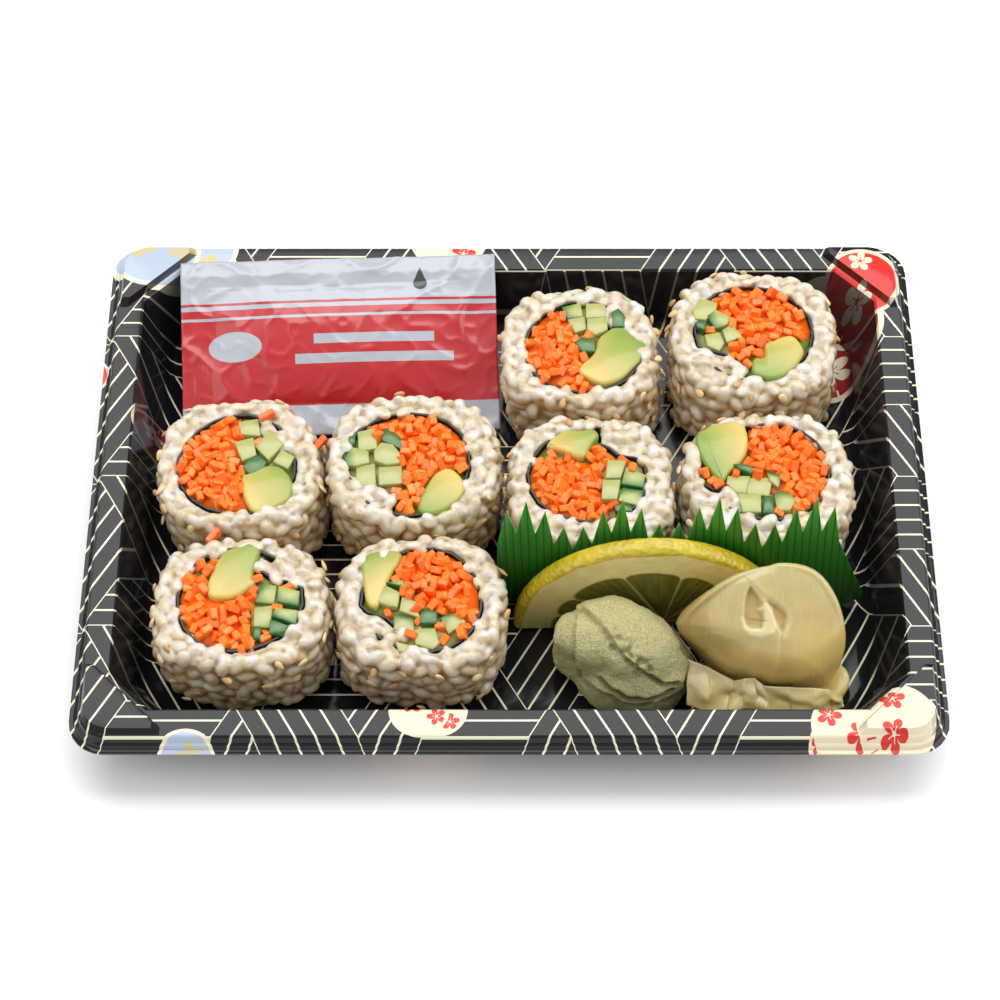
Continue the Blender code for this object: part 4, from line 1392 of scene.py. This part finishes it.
spots = []
crease_shades = []
for spot, normal, _, _ in fitted(surface(wasabi), WASABI_OUTLINE, WASABI_CENTRE):
    flat = seen(spot)
    drift = Vector((noise.noise(spot * 210), noise.noise(spot * 210 + Vector((9, 9, 9))))) * 0.0007
    raised, _, groove = layered(flat + drift, WASABI_FOLDS)
    groove *= 0.22 + 0.78 * step(-flat.y, *CREVICE_FROM)
    grain = noise.noise(spot * 650)
    rough = noise.noise(spot * 900) * 0.00022 + noise.noise(spot * 260) * 0.0005
    torn = hump(segment_offset(flat, *WASABI_TEAR)[0], 0.0, TEAR_WIDTH)
    raised += torn * (0.0011 * grain - 0.0003) - FOLD_GROOVE * groove
    spot = spot + normal * (rough + raised * min(1.0, spot.z / WASABI_FOOT))
    spot.z = max(spot.z, FLOOR_TOP)
    spots.append(spot)
    # painted shade: dark in the grooves below the folds and in the low spots of the tear
    crease_shades.append(min(1.0, 0.75 * groove + 0.7 * torn * step(-grain, 0.0, 0.4)))
reshape(wasabi, spots)
store(wasabi, "crease", crease_shades)
show(wasabi, "wasabi")


# The ginger: thin slices of pickled ginger, wet and see-through, gathered into a loose bulb with
# a rolled opening on top and flaps that lie on the floor beside it.
ginger_finish, nodes = finish(
    "ginger", Roughness=0.27, Subsurface_Weight=0.7, Subsurface_Radius=(1.0, 0.75, 0.35),
    Subsurface_Scale=0.0050, Coat_Weight=0.4, Coat_Roughness=0.12,
)
place = nodes.place()
x, y, z = nodes.split(place)
fibre = nodes.noise(nodes.vector("MULTIPLY", place, (1600, 260, 90)), 1.0, 3)
cloud = nodes.noise(place, 90, 3)
lit = cloud * 0.5 + z * 20
tint = nodes.ramp(
    lit,
    (0.38, (0.84, 0.57, 0.105)),
    (0.62, (0.68, 0.49, 0.125)),
    (0.95, (0.43, 0.365, 0.155)),
)
# The bulb's left part is blended toward dark brown: painted shade
aside = nodes.share(x, 0.058, 0.043, 0.75)
tint = nodes.blend(aside, tint, (0.22, 0.14, 0.024, 1))
tint = nodes.blend(fibre * 0.28, tint, (0.72, 0.61, 0.33, 1))
# Inside the opening and the gap the colour goes darker brown: painted shade in these hollows; on the ruffle
# the same blend tans the whole sheet evenly
tint = nodes.blend(nodes.named("hollow"), tint, (0.50, 0.31, 0.085, 1))
# Pale where the slice curls round the opening, along the edges of the layers and towards the ruffle's top:
# painted highlight
tint = nodes.blend(nodes.named("rim"), tint, (0.86, 0.82, 0.66, 1))
nodes.paint(tint, fibre, 0.0004, 0.35)

# The rolled opening, the slice that curls round it (painted pale as a highlight), the gap beside that and
# the bulb's outline, all in view mm
OPENING = in_mm((
    (59.0, -20.8), (58.1, -22.5), (57.6, -25.0), (57.4, -28.5), (57.9, -30.6), (58.9, -31.5),
    (61.8, -31.5), (62.3, -29.0), (62.0, -25.5), (60.9, -23.0),
))
CURL = in_mm((
    (62.4, -24.0), (64.2, -27.0), (65.6, -30.6), (64.6, -32.6), (61.8, -33.6), (59.0, -33.4), (57.2, -31.6),
    (56.8, -28.5), (57.4, -28.5), (57.9, -30.6), (58.9, -31.5), (61.8, -31.5), (62.3, -29.0), (62.0, -25.5),
))
GAP = in_mm((
    (62.8, -24.2), (65.0, -25.2), (67.0, -26.8), (67.9, -28.4), (67.7, -30.2), (66.8, -33.2), (65.8, -31.0),
    (64.5, -27.4),
))
BULB_OUTLINE = (
    (64.0, -15.8), (67.0, -15.2), (70.0, -15.4), (73.0, -16.0), (75.5, -17.2), (77.5, -19.3), (79.5, -22.4),
    (81.5, -26.0), (83.0, -30.0), (84.0, -34.0), (84.0, -38.0), (82.7, -42.0), (80.5, -45.6), (75.0, -47.6),
    (67.0, -48.2), (59.5, -46.8), (53.0, -43.9), (50.0, -41.5), (47.0, -38.0), (43.4, -34.0), (41.6, -31.0),
    (44.0, -27.5), (48.0, -23.5), (52.0, -20.5), (55.0, -18.5), (58.0, -17.2), (60.5, -16.3),
)
BULB_CENTRE = Vector((64.8, -32.0)) * MM
BULB_FOOT = 0.014
BULB_SAG = 0.0013
EDGE_SLOTS = 36
EDGE_PASSES = 10
EDGE_BAND = (0.86, 0.97)
EDGE_SHARE = 0.92
MOUTH_DEPTH = 0.0016
GAP_DEPTH = 0.0011
CURL_RISE = 0.0003
GINGER_FOOT = 0.0012
FLAP_WAVE = 0.0011
# Edges of the layers seen on the bulb, in view mm: the layer on the right of each line lies on top
GINGER_LAYERS = (
    (((66.9, -33.2), (68.1, -29.8), (67.6, -27.2), (65.5, -25.0), (62.5, -23.4), (59.5, -20.3)),
     0.0004, 0.005),
    (((66.6, -33.6), (66.4, -39.0), (65.5, -46.5)), 0.0005, 0.006),
)
bulb = refined("ginger_bunch", 3, ginger_finish, "ginger_bulb")
even = bulb.modifiers.new("even", "SMOOTH")
even.iterations = 20
applied(bulb)


def depth_of(spot):
    """How far a spot lies behind the plane through the view's origin."""
    return (spot - VIEW_ORIGIN).dot(FRONT_VIEW[1])


def arch(share):
    """Height of a round dome, 1 at its middle and 0 where its edge is read."""
    foot = math.sqrt(1 - EDGE_SHARE**2)
    return max(0.0, (math.sqrt(1 - share * share) - foot) / (1 - foot))


# the dome that closes the dimple in the middle: it starts from the bulb's own edge in every direction
moved = fitted(surface(bulb), BULB_OUTLINE, BULB_CENTRE)
sums = [[0.0, 0] for _ in range(EDGE_SLOTS)]
for spot, normal, angle, share in moved:
    if EDGE_BAND[0] < share < EDGE_BAND[1] and normal.dot(FRONT_VIEW[1]) < 0:
        slot = sums[int((angle / math.tau) % 1.0 * EDGE_SLOTS)]
        slot[0] += depth_of(spot)
        slot[1] += 1
edges = [total / count for total, count in sums]
for _ in range(EDGE_PASSES):
    edges = [(before + 2 * here + after) / 4 for before, here, after in neighbours(edges)]
above = below = 0.0
for spot, normal, angle, share in moved:
    if angle < 0 and share < EDGE_SHARE and normal.dot(FRONT_VIEW[1]) < 0:
        rise = arch(share)
        start = reach_at(edges, angle)
        above += rise * (depth_of(spot) - start + start * rise)
        below += rise * rise
front_depth = above / below
hollow_shades = []
rims = []
spots = []
for spot, normal, angle, share in moved:
    flat = seen(spot)
    start = reach_at(edges, angle)
    front = step(start + 0.008 - depth_of(spot), 0.0, 0.003) * step(1 - share, 0.02, 0.12)
    fill = start + (front_depth - start) * arch(share) - depth_of(spot)
    spot = spot + FRONT_VIEW[1] * fill * front
    mouth = distance_in(flat, OPENING)
    gap = distance_in(flat, GAP)
    curl = step(distance_in(flat, CURL), -0.0004, 0.0005)
    raised, edge, _ = layered(flat, GINGER_LAYERS)
    wave = 0.0004 * noise.noise(spot * 120) + 0.0010 * noise.noise(spot * 48)
    sunk = MOUTH_DEPTH * step(mouth, -0.0002, 0.0008) + GAP_DEPTH * step(gap, -0.0002, 0.0006)
    out = normal.lerp(-FRONT_VIEW[1], front)
    spot = spot + out * (wave + (raised + CURL_RISE * curl - sunk) * front)
    spot.z = max(spot.z - BULB_SAG * step(BULB_FOOT - spot.z, 0.0, 0.006), GINGER_FOOT)
    spots.append(spot)
    # painted shade inside the opening and the gap
    hollow_shades.append(min(1.0, 0.55 * step(mouth, 0.0, 0.0006) + 0.7 * step(gap, 0.0, 0.0006)) * front)
    # painted highlight on the curl and along the layers' edges
    rims.append(max(0.30 * curl, 0.10 * edge) * front)
reshape(bulb, spots)
store(bulb, "hollow", hollow_shades)
store(bulb, "rim", rims)
show(bulb, "ginger_bunch")
for side in ("left", "right"):
    flap = refined(f"ginger_slice_{side}", 2, ginger_finish, f"ginger_flap_{side}")
    spots = [spot for spot, _ in surface(flap)]
    for spot in spots:
        spot.z = max(FLOOR_TOP, spot.z + FLAP_WAVE * noise.noise(spot * 160 + Vector((5, 0, 0))))
    reshape(flap, spots)
    show(flap, f"ginger_slice_{side}")

# a thin slice that stands ruffled along the bulb's foot: its upper and its lower edge
RUFFLE_TOP = (
    (44.6, -50.4, 14.6), (50.0, -53.4, 14.8), (56.0, -56.6, 14.4), (58.3, -57.4, 16.9), (60.8, -57.6, 17.0),
    (63.0, -58.4, 15.2), (69.0, -58.8, 15.0), (75.0, -58.9, 14.8), (79.0, -58.6, 13.8), (82.6, -58.6, 10.6),
)
RUFFLE_FOOT = (
    (44.2, -60.5, 9.0), (49.0, -62.8, 9.4), (54.0, -63.6, 10.0), (58.0, -63.0, 11.8), (61.0, -63.2, 11.8),
    (65.0, -63.8, 9.8), (70.5, -63.8, 9.6), (76.0, -63.8, 9.6), (80.0, -63.2, 9.4), (83.4, -61.0, 9.0),
)
RUFFLE_CELLS = (120, 22)
RUFFLE_SWAY = Vector((0.0, -0.0016, 0.0009))
RUFFLE_THICK = 0.0006
RUFFLE_TOP_HIGHLIGHT = 0.24
RUFFLE_TAN = 0.6
RUFFLE_HEIGHT = 0.018


def along_line(line, share):
    """A spot part of the way along a row of points, rounded at each of them."""
    place = share * (len(line) - 1)
    first = min(int(place), len(line) - 2)
    return Vector(line[first]).lerp(Vector(line[first + 1]), step(place - first, 0.0, 1.0)) * MM


ruffle = bmesh.new()
wide, tall = RUFFLE_CELLS
grid = []
for row in range(tall + 1):
    rise = row / tall
    line = []
    for column in range(wide + 1):
        share = column / wide
        spot = along_line(RUFFLE_FOOT, share).lerp(along_line(RUFFLE_TOP, share), rise)
        sway = noise.noise(Vector((share * 6, rise * 2, 4)))
        sway += 0.4 * noise.noise(Vector((share * 14, rise * 3, 9)))
        spot += RUFFLE_SWAY * sway * (0.4 + math.sin(math.pi * rise))
        line.append(ruffle.verts.new(spot))
    grid.append(line)
for low_line, high_line in zip(grid, grid[1:]):
    for place in range(wide):
        ruffle.faces.new((low_line[place], low_line[place + 1], high_line[place + 1], high_line[place]))
ruffle = piece("ginger_ruffle", ruffle, ginger_finish)
thick = ruffle.modifiers.new("thick", "SOLIDIFY")
thick.thickness = RUFFLE_THICK
thick.offset = 0.0
spots = surface(applied(ruffle))
# the ruffle gets paler towards its top: painted highlight
store(ruffle, "rim", [RUFFLE_TOP_HIGHLIGHT * (spot.z / RUFFLE_HEIGHT) ** 2 for spot, _ in spots])
store(ruffle, "hollow", [RUFFLE_TAN] * len(spots))
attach(ruffle, "root")


# The setting: a white table under one wide soft light behind the tray and two weaker ones at its sides,
# with an even white room all round.
FLOOR_SIZE = 4.0
ROOM = 0.62
LIGHTS = (
    ("back", (0.0, 0.41, 1.0), (1.4, 0.75), 11.5),
    ("left", (-0.75, -0.25, 0.8), (0.7, 0.7), 2.2),
    ("right", (0.8, -0.05, 0.65), (0.6, 0.6), 3.2),
)
TARGET = Vector((0.0, 0.0, 0.01))
CAMERA_SPOT = (0, -0.3886, 0.608)
CAMERA_TILT = math.radians(33)
LENS = 98.4
LENS_SHIFT = -0.0092

table = bmesh.new()
bmesh.ops.create_grid(table, size=FLOOR_SIZE / 2, x_segments=1, y_segments=1)
table_finish, nodes = finish("table", Base_Color=(0.95, 0.95, 0.96, 1), Roughness=0.6)
floor = piece("table", table, table_finish, smooth=False)

world = bpy.data.worlds.new("room")
world.use_nodes = True
world.node_tree.nodes["Background"].inputs["Color"].default_value = (1, 1, 1, 1)
world.node_tree.nodes["Background"].inputs["Strength"].default_value = ROOM
scene.world = world
for name, spot, size, power in LIGHTS:
    lamp = bpy.data.lights.new(name, "AREA")
    lamp.shape = "RECTANGLE"
    lamp.size, lamp.size_y = size
    lamp.energy = power
    holder = bpy.data.objects.new(name, lamp)
    holder.location = spot
    holder.rotation_euler = (TARGET - Vector(spot)).to_track_quat("-Z", "Y").to_euler()
    scene.collection.objects.link(holder)

lens = bpy.data.cameras.new("camera")
lens.sensor_width = 36
lens.lens = LENS
lens.shift_x = LENS_SHIFT
camera = bpy.data.objects.new("camera", lens)
camera.location = CAMERA_SPOT
camera.rotation_euler = (CAMERA_TILT, 0, 0)
scene.collection.objects.link(camera)
scene.camera = camera
scene.view_settings.view_transform = "Standard"
